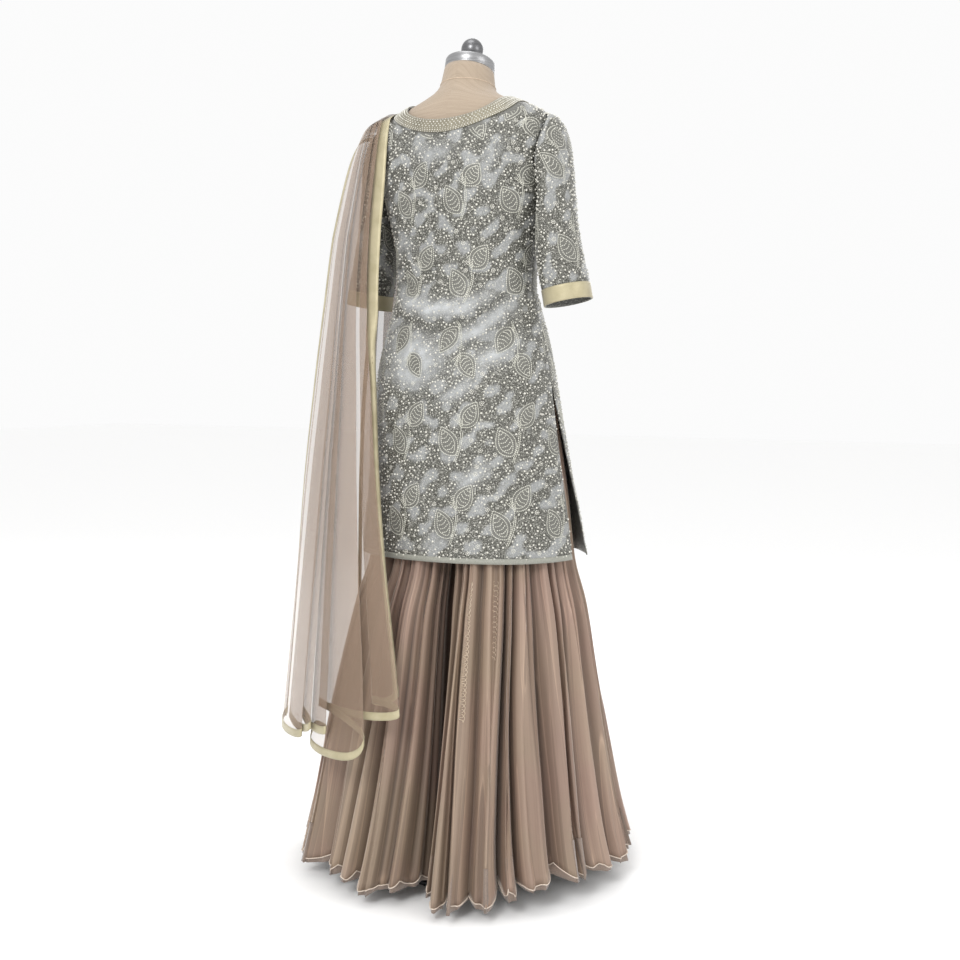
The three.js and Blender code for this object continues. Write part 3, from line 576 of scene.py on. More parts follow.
def knobOutline():
    # A short stem and a ball on the cap.
    radius = form["knobRadius"]
    start = math.asin(form["knobNeck"] / radius)
    base = form["cap"][-1][1] + 2 * form["capLift"]
    middle = base + form["knobStem"] + radius * math.cos(start)
    outline = [(0, base), (form["knobNeck"], base), (form["knobNeck"] * 0.86, base + 1.5)]
    for turn in np.linspace(start, math.pi, 26)[:-1]:
        outline.append((radius * math.sin(turn), middle - radius * math.cos(turn)))
    return outline + [(0, middle + radius)]


def makeForm():
    z = np.linspace(form["sections"][0][0], form["sections"][-1][0], form["rows"])[:, None]
    turn = -np.linspace(0, 2 * math.pi, form["around"], endpoint=False)[None, :]
    points = sectionPoint(formAt(z + 0 * turn), turn + 0 * z, z + 0 * turn)
    normals = gridNormals(points, ring=True)
    groove = np.zeros(points.shape[:2])
    for seam in form["seams"]:
        away = np.abs((np.degrees(-turn) - seam + 180) % 360 - 180)
        wide = np.radians(away) * np.hypot(points[..., 0], points[..., 1])
        groove = np.maximum(groove, np.exp(-(wide / form["seamWidth"]) ** 2))
    groove = np.maximum(groove, np.exp(-((z + 0 * turn - form["neckSeam"]) / 1.2) ** 2))
    points = points - normals * (groove * form["seamDepth"])[..., None]
    rows, columns = points.shape[:2]
    faces, corners = gridFaces(rows, columns, ring=True)
    flat = points.reshape(-1, 3)
    middle = np.array([flat[:columns].mean(axis=0), flat[-columns:].mean(axis=0)])
    fans = endFans(rows, columns)
    across, up = flatPlaces(points, ring=True)
    quadUv = np.stack([across, up], axis=-1)[corners[..., 0], corners[..., 1]]
    triUv = np.concatenate([quadUv[:, [0, 1, 2]], quadUv[:, [0, 2, 3]], np.zeros((len(fans), 3, 2))])
    torso = addPiece("form_torso_linen", np.concatenate([flat, middle]), asFaces(faces, fans), linen,
                     "form_linen", triUv.reshape(-1, 2))
    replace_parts(torso, "form_torso")
    # A raised stitched ring where the neck is sewn on.
    ringTurn = np.linspace(0, 2 * math.pi, form["ringSides"], endpoint=False)
    ringZ = np.full(form["ringSides"], form["neckSeam"] + form["ringLift"])
    ring = sectionPoint(formAt(ringZ), ringTurn, ringZ) * [1.004, 1.004, 1]
    addTube("form_neck_seam", ring, form["ringRadius"], seamThread, "form_linen", closedLoop=True)
    capOutline = [(r, h + form["capLift"]) for r, h in form["cap"]]
    turned = [
        ("form_neck_cap_steel", "form_neck_cap", capOutline, 96, steel, "form_steel", seatPlace),
        ("form_knob_steel", "form_knob", knobOutline(), 64, ballSteel, "form_steel", seatPlace),
        ("stand_pole_steel", "stand_pole", form["pole"], 48, steel, "form_steel", None),
        ("stand_foot_iron", "stand_foot", form["foot"], 96, iron, "stand_iron", None),
    ]
    for name, node, outline, sides, material, slot, place in turned:
        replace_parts(addTurned(name, outline, sides, material, slot, place), node)


makeForm()
print("dress form made")


tunic = {
    "columns": "z half front back x0 y0 square",
    "sections": [
        (591, 213, 171, 162, -12, 0, 0.03), (660, 205, 160, 155, -10, 0, 0.03),
        (750, 193, 148, 146, -6, 0, 0.03), (840, 182, 135, 137, -2, 0, 0.03),
        (905, 174, 124, 130, 0, 0, 0.03), (970, 162, 112, 119, 0, 0, 0.03),
        (1030, 146, 104, 105, 0, 0, 0.03), (1085, 134, 100, 95, 0, 0, 0.03),
        (1140, 137, 105, 95, 0, 0, 0.03), (1190, 146, 117, 98, 0, 0, 0.04),
        (1238, 156, 123, 102, 0, 0, 0.05), (1295, 165, 109, 103, 0, 1, 0.05),
        (1338, 171, 92, 96, 0, 2, 0.05), (1366, 171, 84, 87, 0, 3, 0.04),
        (1384.5, 159.5, 80, 80, 0, 3, 0.02), (1402.3, 127, 73, 76, 0, 2, 0),
        (1416, 93, 67, 71, 0, 0, 0),
    ],
    "cloth": 1.4,
    "trim": 1.0,
    "onTop": 0.35,
    "seam": 0.3,
    "hemFold": 0.5, "hemFoldLift": 0.7,
    "hem": 591, "slitTop": 905, "armpit": 1238, "shoulderTip": 1381.5, "neckPoint": 1416,
    "drop": {"back": 44, "front": 100},
    "neckHalf": 96,
    "ribbonNeck": 24, "ribbonShoulder": 9.5,
    "slit": {"back": 7, "front": 16},
    "flare": {"back": 2, "front": 6},
    "armholeTurn": 23,
    # The folds that droop at the back waist: z, x, rise, height, width, reach.
    "waistFolds": [(1018, -10, 29, 5, 15, 115), (1050, 25, 36, 4, 13, 95)],
    # Swaths left plainer and creases: strength or height, width, and a line of points. The swaths run along
    # the fold
    #     # bulges, and their paler satin is a painted highlight. Lines run from the panel's middle to the
    #     viewer's right and up.
    "litPlainSwaths": {
        "back": [
            (1.0, 14, [(-112, 1088), (-66, 1052), (-10, 1036), (46, 1038), (104, 1068)]),
            (0.95, 30, [(-120, 990), (-70, 968), (-10, 950), (30, 940)]),
            (0.7, 20, [(-110, 930), (-50, 916), (0, 920)]),
            (0.9, 13, [(30, 975), (80, 1000), (132, 1052)]),
            (0.75, 18, [(70, 935), (112, 958), (140, 990)]),
            (0.8, 11, [(16, 872), (50, 890), (82, 916)]),
            (0.8, 12, [(60, 716), (84, 740), (116, 766)]),
            (0.6, 12, [(-40, 700), (-20, 730)]),
            (0.6, 11, [(-6, 610), (20, 634), (54, 640)]),
            (0.6, 14, [(-120, 1140), (-90, 1160), (-60, 1150)]),
            (0.6, 16, [(-60, 1330), (-20, 1310), (30, 1318)]),
            (0.6, 12, [(60, 1250), (92, 1290), (110, 1330)]),
        ],
        "front": [
            (0.9, 14, [(-104, 1072), (-50, 1040), (10, 1034), (66, 1046), (108, 1074)]),
            (0.85, 28, [(-80, 975), (-20, 950), (60, 955)]),
            (0.7, 16, [(-30, 880), (20, 900)]),
            (0.7, 13, [(60, 730), (90, 760)]),
            (0.6, 13, [(-90, 690), (-60, 720)]),
            (0.6, 16, [(-50, 1230), (0, 1216), (50, 1228)]),
        ],
    },
    "rows": 168, "across": 97,
    "ease": 0.9, "easeSize": 60,  # height and size of the cloth's soft unevenness
    "edgeCalm": 0.12, "neckCalm": 25, "flareReach": 0.11,
    "patchSize": 34, "patchFrom": 0.38, "patchMost": 0.42, "litSwathSize": 24,
    # Rows of beads on the neck ribbon: place from its lower edge, size, step.
    "neckRows": [(0.95, 1.1, 3.3), (0.80, 1.55, 4.7), (0.64, 1.5, 4.7), (0.48, 1.6, 4.7), (0.33, 1.1, 3.4),
                 (0.19, 1.5, 3.3), (0.06, 1.3, 3.0)],
    "sprigField": (230, 860),
    "sprigStart": {"back": (38, 38, 1), "front": (10, 38, -1)},  # x, height, way it faces
    "seed": {"back": 11, "front": 23},
    "creases": {
        "back": [
            (9, 12, [(-112, 1080), (-70, 1046), (-14, 1030), (45, 1030), (92, 1052), (128, 1084)]),
            (-9, 7, [(-118, 1056), (-76, 1022), (-20, 1006), (40, 1006), (84, 1026)]),
            (8, 9, [(40, 972), (84, 992), (112, 1024), (142, 1080)]),
            (-8, 6, [(62, 1008), (94, 1034), (122, 1078)]),
            (-7, 6, [(86, 958), (118, 984), (146, 1030)]),
            (-5, 7, [(-110, 1120), (-84, 1084), (-40, 1062)]),
            (3.5, 16, [(-60, 980), (-10, 962), (50, 962)]),
            (-5, 7, [(96, 1352), (118, 1312), (142, 1262)]),
            (3.5, 8, [(80, 1344), (102, 1300), (130, 1252)]),
            (-2.5, 8, [(62, 1330), (88, 1284), (120, 1236)]),
            (-5, 7, [(-96, 1350), (-118, 1310), (-142, 1262)]),
            (3, 8, [(-78, 1340), (-104, 1296), (-130, 1250)]),
            (2.5, 26, [(-30, 640), (-38, 720), (-26, 800)]),
            (2.5, 24, [(70, 610), (64, 690), (82, 770)]),
            (-2.5, 22, [(20, 600), (26, 680), (16, 760)]),
            (-2.5, 24, [(-90, 600), (-84, 700), (-100, 790)]),
            (-1.8, 16, [(120, 830), (60, 850), (0, 842)]),
        ],
        "front": [
            (4, 10, [(-110, 1046), (-64, 1022), (-6, 1010), (56, 1018), (112, 1050)]),
            (-4.5, 9, [(-90, 1016), (-30, 994), (36, 992), (92, 1014)]),
            (3.5, 8, [(-134, 1064), (-100, 1010), (-66, 976)]),
            (3.5, 8, [(136, 1060), (104, 1012), (72, 980)]),
            (-4.5, 7, [(100, 1340), (116, 1300), (142, 1258)]),
            (-4.5, 7, [(-100, 1338), (-118, 1300), (-140, 1256)]),
            (-3, 7, [(-138, 1236), (-104, 1226), (-76, 1228)]),
            (-3, 7, [(138, 1232), (108, 1222), (78, 1226)]),
            (3, 26, [(40, 612), (46, 700), (30, 790)]),
            (3, 26, [(-60, 606), (-70, 690), (-54, 780)]),
            (-3, 22, [(-8, 600), (-14, 690), (-4, 780)]),
        ],
    },
}
tunicAt = smoothTable(tunic["columns"], tunic["sections"])


def tunicPoint(turn, z):
    points = sectionPoint(tunicAt(z), turn, z)
    back = np.maximum(np.cos(turn), 0)
    for foldZ, foldX, rise, height, width, reach in tunic["waistFolds"]:
        across = (points[..., 0] - foldX) / 100
        away = (z - foldZ - rise * across ** 2) / width
        swell = height * np.exp(-away ** 2) * np.exp(-((points[..., 0] - foldX) / reach) ** 4)
        points[..., 1] += swell * back
    return points


def edgeTurn(panel, z):
    # How far from the panel's centre its edge lies: slit, side seam, armhole, shoulder seam.
    opened = np.clip((tunic["slitTop"] - z) / (tunic["slitTop"] - tunic["hem"]), 0, 1) ** 0.8
    along = np.clip((z - tunic["armpit"]) / (tunic["shoulderTip"] - tunic["armpit"]), 0, 1)
    cut = np.maximum(np.sin(math.pi * along), 0) ** 0.7
    return np.radians(90 - tunic["slit"][panel] * opened - tunic["armholeTurn"] * cut)


def necklineHeight(panel, fromCentre):
    drop = tunic["drop"][panel]
    low = np.full(np.shape(fromCentre), float(tunic["neckPoint"] - drop))
    high = np.full(np.shape(fromCentre), float(tunic["neckPoint"]))
    for _ in range(24):
        z = (low + high) / 2
        x = tunicAt(z)["half"] * np.sin(fromCentre)
        outside = (x / tunic["neckHalf"]) ** 2 + ((tunic["neckPoint"] - z) / drop) ** 2 > 1
        low = np.where(outside, z, low)
        high = np.where(outside, high, z)
    return (low + high) / 2


def roomUnder(z):
    # How far the tunic may sink in before it meets the form or the trousers.
    cloth = tunicAt(z)
    room = np.full(np.shape(z), 99.0)
    for under, low, high in ((formAt(z), 800, 1500), (trouserAt(z), 0, 1060)):
        gaps = [cloth["half"] - under["half"]]
        shift = under.get("y0", 0.0)
        gaps.append(cloth["back"] + cloth["y0"] - under["back"] - shift)
        gaps.append(cloth["front"] - cloth["y0"] - under["front"] + shift)
        room = np.where((z > low) & (z < high), np.minimum(room, np.min(gaps, axis=0)), room)
    return np.maximum(room - tunic["cloth"] - 1.0, 0.4)


def panelPoint(panel, edge, across):
    # edge is the height at which the row meets the panel's edge, and across runs from 1 to -1.
    middle = 0.0 if panel == "back" else math.pi
    shape = np.abs(across) * math.pi / 2
    top = necklineHeight(panel, shape)
    ribbon = mixed(tunic["ribbonNeck"], tunic["ribbonShoulder"], np.abs(np.sin(shape)) ** 2.5)
    lastRow = tunic["neckPoint"] - tunic["ribbonShoulder"]
    stretch = (top - ribbon - tunic["armpit"]) / (lastRow - tunic["armpit"])
    upper = tunic["armpit"] + (np.minimum(edge, lastRow) - tunic["armpit"]) * stretch
    inRibbon = np.clip((edge - lastRow) / tunic["ribbonShoulder"], 0, 1)
    z = np.where(edge <= tunic["armpit"], edge, mixed(upper, top, inRibbon))
    reach = edgeTurn(panel, edge) - tunic["seam"] / 2 / tunicAt(edge)["back"]
    turn = middle + across * reach
    points = tunicPoint(turn, z)
    side = -1 if panel == "back" else 1
    out = creaseHeight(side * points[..., 0], points[..., 2], tunic["creases"][panel])
    calm = np.clip((1 - np.abs(across)) / tunic["edgeCalm"], 0, 1)
    calm = calm * np.clip((tunic["neckPoint"] - edge) / tunic["neckCalm"], 0, 1)
    ease = softNoise(points, tunic["easeSize"], 5) * tunic["ease"]
    out = np.maximum((out + ease) * calm, -roomUnder(z))
    # Below the slit's top the panel's edge stands off a little.
    opened = np.clip((tunic["slitTop"] - z) / (tunic["slitTop"] - tunic["hem"]), 0, 1)
    nearEdge = np.exp(-((1 - np.abs(across)) / tunic["flareReach"]) ** 2)
    out = out + tunic["flare"][panel] * opened * nearEdge
    points[..., 0] += np.sin(turn) * out
    points[..., 1] += np.cos(turn) * out
    return points


def panelGrid(panel):
    lastRow = tunic["neckPoint"] - tunic["ribbonShoulder"]
    edgeHighlights = np.concatenate([np.linspace(tunic["hem"], lastRow, tunic["rows"]),
                            np.linspace(lastRow, tunic["neckPoint"], 7)[1:]])
    across = np.linspace(1, -1, tunic["across"])
    return panelPoint(panel, edgeHighlights[:, None] + 0 * across, across[None, :] + 0 * edgeHighlights[:, None])


def clothOf(points, ring=False):
    across, up = flatPlaces(points, ring)
    normals = gridNormals(points, ring)
    if ring:
        points = np.concatenate([points, points[:, :1]], axis=1)
        normals = np.concatenate([normals, normals[:, :1]], axis=1)
    return {"points": points, "normals": normals, "across": across, "up": up}


def readGrid(grid, row, column):
    rows, columns = grid.shape[:2]
    i = np.clip(np.floor(row).astype(int), 0, rows - 2)
    j = np.clip(np.floor(column).astype(int), 0, columns - 2)
    a = np.clip(row - i, 0, 1)
    b = np.clip(column - j, 0, 1)
    if grid.ndim == 3:
        a = a[..., None]
        b = b[..., None]
    low = mixed(grid[i, j], grid[i, j + 1], b)
    high = mixed(grid[i + 1, j], grid[i + 1, j + 1], b)
    return mixed(low, high, a)


def placeOn(cloth, across, up):
    # Finds the points of the worn cloth that lie at these flat places, and which of them are on it.
    rows, columns = cloth["across"].shape
    row = np.full(np.shape(across), rows / 2.0)
    column = np.full(np.shape(across), columns / 2.0)
    for _ in range(14):
        row = np.clip(row, 0, rows - 1.001)
        column = np.clip(column, 0, columns - 1.001)
        nowAcross = readGrid(cloth["across"], row, column)
        nowUp = readGrid(cloth["up"], row, column)
        perColumn = readGrid(cloth["across"], row, np.minimum(column + 1, columns - 1)) - readGrid(
            cloth["across"], row, np.maximum(column - 1, 0))
        perRow = readGrid(cloth["up"], np.minimum(row + 1, rows - 1), column) - readGrid(
            cloth["up"], np.maximum(row - 1, 0), column)
        column = column + np.clip((across - nowAcross) / np.maximum(perColumn / 2, 0.2), -12, 12)
        row = row + np.clip((up - nowUp) / np.maximum(perRow / 2, 0.2), -25, 25)
    onCloth = (row > 0.5) & (row < rows - 1.5) & (column > 0.5) & (column < columns - 1.5)
    row = np.clip(row, 0, rows - 1.001)
    column = np.clip(column, 0, columns - 1.001)
    normals = unit(readGrid(cloth["normals"], row, column))
    return readGrid(cloth["points"], row, column), normals, onCloth, row


def flatAt(cloth, row, column):
    return readGrid(cloth["across"], row, column), readGrid(cloth["up"], row, column)


def scatterOn(cloth, count, rng):
    # Evenly spread random places over the cloth, by the size of its cells.
    p = cloth["points"]
    size = np.linalg.norm(np.cross(p[:-1, 1:] - p[:-1, :-1], p[1:, :-1] - p[:-1, :-1]), axis=2)
    cells = rng.choice(size.size, count, p=(size / size.sum()).ravel())
    i, j = np.unravel_index(cells, size.shape)
    row = i + rng.random(count)
    column = j + rng.random(count)
    return readGrid(p, row, column), unit(readGrid(cloth["normals"], row, column)), row, column


def keepApart(places, radii, taken):
    # Keeps each place that stays clear of those kept before it.
    cell = 7.0
    steps = [(a, b, c) for a in (-1, 0, 1) for b in (-1, 0, 1) for c in (-1, 0, 1)]
    near = {}
    for x, y, z, r in taken:
        near.setdefault((int(x // cell), int(y // cell), int(z // cell)), []).append((x, y, z, r))
    kept = []
    for n, (x, y, z) in enumerate(places.tolist()):
        r = radii[n]
        a, b, c = int(x // cell), int(y // cell), int(z // cell)
        others = (other for da, db, dc in steps for other in near.get((a + da, b + db, c + dc), ()))
        if all((x - qx) ** 2 + (y - qy) ** 2 + (z - qz) ** 2 >= (r + qr) ** 2 for qx, qy, qz, qr in others):
            kept.append(n)
            near.setdefault((a, b, c), []).append((x, y, z, r))
    return np.array(kept, int)


def domeShape(sides, rings):
    # A unit dome: a ring at the cloth, and one nearer the top for the larger beads.
    turn = np.linspace(0, 2 * math.pi, sides, endpoint=False)
    layers = [(1.0, -0.15), (0.74, 0.62)][:rings]
    points = [stacked(r * np.cos(turn), r * np.sin(turn), h + 0 * turn) for r, h in layers]
    points.append(np.array([[0, 0, 0.95 if rings > 1 else 0.85]]))
    faces = []
    for k in range(rings - 1):
        for j in range(sides):
            a, b = k * sides + j, k * sides + (j + 1) % sides
            faces += [(a, b, b + sides), (a, b + sides, a + sides)]
    top = rings * sides
    for j in range(sides):
        faces.append(((rings - 1) * sides + j, (rings - 1) * sides + (j + 1) % sides, top))
    return np.concatenate(points), np.array(faces)


def strew(shape, places, normals, size, along=None, stretch=1.0):
    # Copies of a small shape, standing on the cloth. Size is a radius, and stretch lengthens it along a way.
    points, faces = shape
    if along is None:
        along = np.cross(normals, [0.3, 0.2, 1.0])
    along = unit(along - normals * np.sum(along * normals, axis=1, keepdims=True))
    other = np.cross(normals, along)
    size = np.broadcast_to(np.asarray(size, float), (len(places),))[:, None, None]
    moved = (along[:, None] * points[None, :, :1] * stretch + other[:, None] * points[None, :, 1:2]
             + normals[:, None] * points[None, :, 2:]) * size
    vertices = (places[:, None] + moved).reshape(-1, 3)
    allFaces = (faces[None] + (np.arange(len(places)) * len(points))[:, None, None]).reshape(-1, 3)
    return vertices, allFaces


def joined(parts):
    vertices = []
    faces = []
    total = 0
    for points, index in parts:
        if len(points):
            vertices.append(points)
            faces.append(index + total)
            total += len(points)
    return np.concatenate(vertices), np.concatenate(faces)


bigDome = domeShape(5, 2)
smallDome = domeShape(5, 1)
ricePiece = domeShape(6, 1)

beadwork = {
    "columnStep": 104, "rowStep": 146, "rowShift": 8,
    "leafLength": 52, "leafHalf": 17,
    "groundMargin": 5.0, "beadMargin": 4.0,  # how softly a leaf's edge fades in the cloth and the beads
    # Each leaf: degrees it turns to, its root on the stem, its size, its bend.
    "leaves": [(52, (13, 56), 1.0, 0.10), (124, (2, 6), 1.08, -0.10)],
    "bars": 5, "barStart": 0.22, "barStep": 0.13, "barSlant": 0.07,
    # Stems and forks are doubled by a second cord, set off by the shifts.
    "stemLean": 13, "stemBow": 4, "stemLength": 62, "stemShift": (3.2, 0.4), "forkShift": (2.6, 1.6),
    "forks": [(112, 27), (136, 22)],
    "turnedOver": 96,
    "riceStep": 3.4, "riceHalf": 1.1, "riceStretch": 1.65,
    "pearl": (1.5, 2.35), "pearlCount": 6200,
    "seed": (0.9, 1.35), "seedCount": 15000,
    "flowerCount": 190, "flowerRing": 3.2, "flowerBead": 1.5, "ringBead": 1.3,
    "between": 0.9,
}


def leafSwell(share):
    # Half width of a leaf along its length: fuller near the root, pointed at the tip.
    share = np.clip(share, 0, 1)
    return np.sin(math.pi * share ** 0.82) ** 0.9


def leafLines(length, half, bend):
    # Two cords round the edge and slanting bars within. The leaf grows from its root along the first axis.
    lines = []
    t = np.linspace(0, 1, 34)

    def curved(x, y):
        return np.stack([x, y + bend * (x / length) ** 2 * length], axis=1)

    for inset, scale in ((0, 1.0), (0.10, 0.66)):
        for side in (-1, 1):
            x = length * (inset + t * (1 - 2 * inset))
            lines.append(curved(x, side * half * scale * leafSwell(t)))
    for k in range(beadwork["bars"]):
        root = beadwork["barStart"] + beadwork["barStep"] * k
        s = np.linspace(-1, 1, 12)
        x = length * (root + beadwork["barSlant"] * np.abs(s))
        limit = half * 0.5 * leafSwell(x / length)
        lines.append(curved(x, limit * s))
    return lines


def inLeaves(across, up, places, margin):
    # How surely a flat place lies within a leaf, from 0 to 1 over the margin.
    inside = np.zeros(np.shape(across))
    for x, y, mirror, flip in places:
        a = across - x
        b = up - y
        if flip:
            a = -a
            b = beadwork["turnedOver"] - b
        a = a * mirror
        for degrees, root, size, bend in beadwork["leaves"]:
            angle = math.radians(degrees)
            along = (a - root[0]) * math.cos(angle) + (b - root[1]) * math.sin(angle)
            aside = (b - root[1]) * math.cos(angle) - (a - root[0]) * math.sin(angle)
            length = beadwork["leafLength"] * size
            aside = aside - bend * (along / length) ** 2 * length
            reach = beadwork["leafHalf"] * size * leafSwell(along / length)
            near = np.clip((reach - np.abs(aside)) / margin + 0.5, 0, 1)
            within = (along > 0) & (along < length)
            inside = np.maximum(inside, np.where(within, near, 0))
    return inside


def turnedLines(lines, degrees, move, mirror):
    angle = math.radians(degrees)
    way = np.array([[math.cos(angle), math.sin(angle)], [-math.sin(angle), math.cos(angle)]])
    made = []
    for line in lines:
        placed = line @ way + np.array(move)
        made.append(placed * np.array([mirror, 1]))
    return made


def sprigLines(mirror, flip):
    t = np.linspace(0, 1, 40)
    stem = np.stack([beadwork["stemLean"] * t + beadwork["stemBow"] * np.sin(math.pi * t),
                     beadwork["stemLength"] * t - 6], axis=1)
    lines = [stem, stem[:34] + np.array(beadwork["stemShift"])]
    for degrees, root, size, bend in beadwork["leaves"]:
        shape = leafLines(beadwork["leafLength"] * size, beadwork["leafHalf"] * size, bend)
        lines += turnedLines(shape, degrees, root, 1)
    fork = np.linspace(0, 1, 10)[:, None]
    for degrees, reach in beadwork["forks"]:
        way = np.array([math.cos(math.radians(degrees)), math.sin(math.radians(degrees))])
        lines.append(stem[-1] + fork * reach * way)
        lines.append(stem[-1] + np.array(beadwork["forkShift"]) + fork * (reach - 4) * way)
    lines = [line * np.array([mirror, 1]) for line in lines]
    if flip:
        lines = [np.array([0, beadwork["turnedOver"]]) - line for line in lines]
    return lines


def evenly(line, step):
    lengths = np.linalg.norm(np.diff(line, axis=0), axis=1)
    along = np.concatenate([[0], np.cumsum(lengths)])
    count = max(2, int(along[-1] / step) + 1)
    at = np.linspace(0, along[-1], count)
    return np.stack([np.interp(at, along, line[:, 0]), np.interp(at, along, line[:, 1])], axis=1)


def bareShare(points, seed):
    # Where the cloth between the sprigs is left plainer: swaths along the fold bulges, painted paler as a
    # highlight, and small patches.
    spread = softNoise(points, tunic["patchSize"], seed + 1) - tunic["patchFrom"]
    patches = np.clip(spread * 2.0, 0, tunic["patchMost"])
    x, y, z = points[..., 0], points[..., 1], points[..., 2]
    back = creaseHeight(-x, z, tunic["litPlainSwaths"]["back"])
    front = creaseHeight(x, z, tunic["litPlainSwaths"]["front"])
    litSwaths = np.where(y > 0, back, front) * (0.8 + 0.2 * softNoise(points, tunic["litSwathSize"], seed + 2))
    return np.clip(np.maximum(patches, litSwaths), 0, 0.9)


def markCloth(shell, cloth, places, seed, ring=False):
    # Gives the shell its bare patches, the swaths that carry a painted highlight, and its leaf grounds. The
    # first half of its points is the outer side.
    bareAndLit = bareShare(cloth["points"], seed)
    leaf = inLeaves(cloth["across"], cloth["up"], places, beadwork["groundMargin"])
    # The inner side takes fixed values: a little plainer, and darkened part way toward the leaf ground as
    # painted shade inside the garment.
    for name, values, inner in (("bareAndLit", bareAndLit, 0.1), ("leaf", leaf, 0.3)):
        if ring:
            values = values[:, :-1]
        markPoints(shell, name, np.concatenate([values.ravel(), np.full(values.size, inner)]))


def dressCloth(name, cloth, places, seed, lastRow, density=1.0):
    # Sews sprigs in rice beads, ring flowers, pearls and seed beads on one piece of cloth.
    rng = np.random.default_rng(seed)
    starts = []
    ends = []
    for x, y, mirror, flip in places:
        for line in sprigLines(mirror, flip):
            dots = evenly(line, beadwork["riceStep"]) + np.array([x, y])
            starts.append(dots[:-1])
            ends.append(dots[1:])
    starts = np.concatenate(starts)
    ends = np.concatenate(ends)
    a, normalA, onA, rowA = placeOn(cloth, starts[:, 0], starts[:, 1])
    b, normalB, onB, rowB = placeOn(cloth, ends[:, 0], ends[:, 1])
    fits = onA & onB & (rowA < lastRow) & (rowB < lastRow) & (rowA > 1.6)
    fits &= np.linalg.norm(b - a, axis=1) < beadwork["riceStep"] * 1.6
    a, b, normal = a[fits], b[fits], unit(normalA[fits] + normalB[fits])
    middle = (a + b) / 2
    rice = strew(ricePiece, middle, normal, beadwork["riceHalf"], along=b - a,
                 stretch=beadwork["riceStretch"])
    taken = [(x, y, z, beadwork["riceHalf"]) for x, y, z in middle.tolist()]

    counts = [int(beadwork[kind] * density) for kind in ("flowerCount", "pearlCount", "seedCount")]
    total = sum(counts)
    spots, spotNormals, spotRow, spotColumn = scatterOn(cloth, total, rng)
    kind = np.repeat([0, 1, 2], counts)
    pearlRadii = rng.uniform(*beadwork["pearl"], total)
    radii = np.where(kind == 1, pearlRadii, rng.uniform(*beadwork["seed"], total))
    apart = np.where(kind == 0, beadwork["flowerRing"] + 2.0, radii + beadwork["between"] / 2)
    bareAndLit = bareShare(spots, seed)
    leaf = inLeaves(*flatAt(cloth, spotRow, spotColumn), places, beadwork["beadMargin"])
    ok = (spotRow > 1.3) & (spotRow < lastRow - 0.3) & (leaf < 0.3)
    ok &= rng.random(total) > bareAndLit * np.where(kind == 2, 0.5, 0.85)
    order = np.nonzero(ok)[0]
    order = order[np.argsort(-np.round(apart[order], 1), kind="stable")]
    kept = order[keepApart(spots[order], apart[order], taken)]
    flowers, pearls, seeds = [kept[kind[kept] == k] for k in range(3)]
    ringParts = []
    if len(flowers):
        sideWay = unit(np.cross(spotNormals[flowers], [0.3, 0.2, 1.0]))
        upWay = np.cross(spotNormals[flowers], sideWay)
        for angle in np.linspace(0, 2 * math.pi, 8)[:-1]:
            out = beadwork["flowerRing"] * (sideWay * math.cos(angle) + upWay * math.sin(angle))
            ringParts.append(strew(smallDome, spots[flowers] + out, spotNormals[flowers],
                                   beadwork["ringBead"]))
    pearlDomes = strew(bigDome, spots[pearls], spotNormals[pearls], radii[pearls])
    flowerDomes = strew(bigDome, spots[flowers], spotNormals[flowers], beadwork["flowerBead"])
    vertices, faces = joined([pearlDomes, flowerDomes] + ringParts)
    pearlPiece = addPiece(name + "_pearls", vertices, faces, pearl, "bead_pearl")
    vertices, faces = joined([strew(smallDome, spots[seeds], spotNormals[seeds], radii[seeds])])
    seedPiece = addPiece(name + "_seed_beads", vertices, faces, silverBead, "bead_pearl")
    sprigPiece = addPiece(name + "_sprigs", *rice, silverCord, "bead_pearl")
    print(name, len(middle), "rice beads", len(pearls), "pearls", len(seeds), "seed beads")
    return [pearlPiece, seedPiece, sprigPiece]


def sprigPlaces(width, height, startX, startY, mirrorFirst):
    places = []
    row = 0
    y = startY
    while y < height:
        count = int(width / beadwork["columnStep"]) + 3
        for k in range(-count, count + 1):
            x = startX + k * beadwork["columnStep"] + (0 if row % 2 == 0 else beadwork["rowShift"])
            mirror = mirrorFirst if row % 3 != 2 else -mirrorFirst
            places.append((x, y, mirror, row % 3 == 2))
        y += beadwork["rowStep"]
        row += 1
    return places


def makePanel(panel):
    points = panelGrid(panel)
    shell = addShell("tunic_" + panel + "_cloth", points, tunic["cloth"], beadedNet, "tunic_embroidered_net")
    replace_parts(shell, "tunic_" + panel)
    cloth = clothOf(points)
    places = sprigPlaces(*tunic["sprigField"], *tunic["sprigStart"][panel])
    seed = tunic["seed"][panel]
    markCloth(shell, cloth, places, seed)
    beads = dressCloth("tunic_" + panel, cloth, places, seed, tunic["rows"] - 2)
    # The neck ribbon lies on the last rows.
    low = tunic["rows"] - 1
    ribbonPoints = points[low:]
    ribbon = addShell("tunic_neck_ribbon_" + panel + "_gold", ribbonPoints, tunic["trim"], neckRibbon,
                      "gold_ribbon", lift=tunic["onTop"] + tunic["trim"])
    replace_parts(ribbon, "tunic_neck_ribbon_" + panel)
    neckBeads = addNeckBeads(panel, ribbonPoints)
    # A narrow plain facing turned up along the hem.
    hemPoints = points[:3]
    hem = addShell("tunic_hem_fold_" + panel, hemPoints, tunic["hemFold"], satinEdge,
                   "tunic_embroidered_net", lift=tunic["hemFoldLift"])


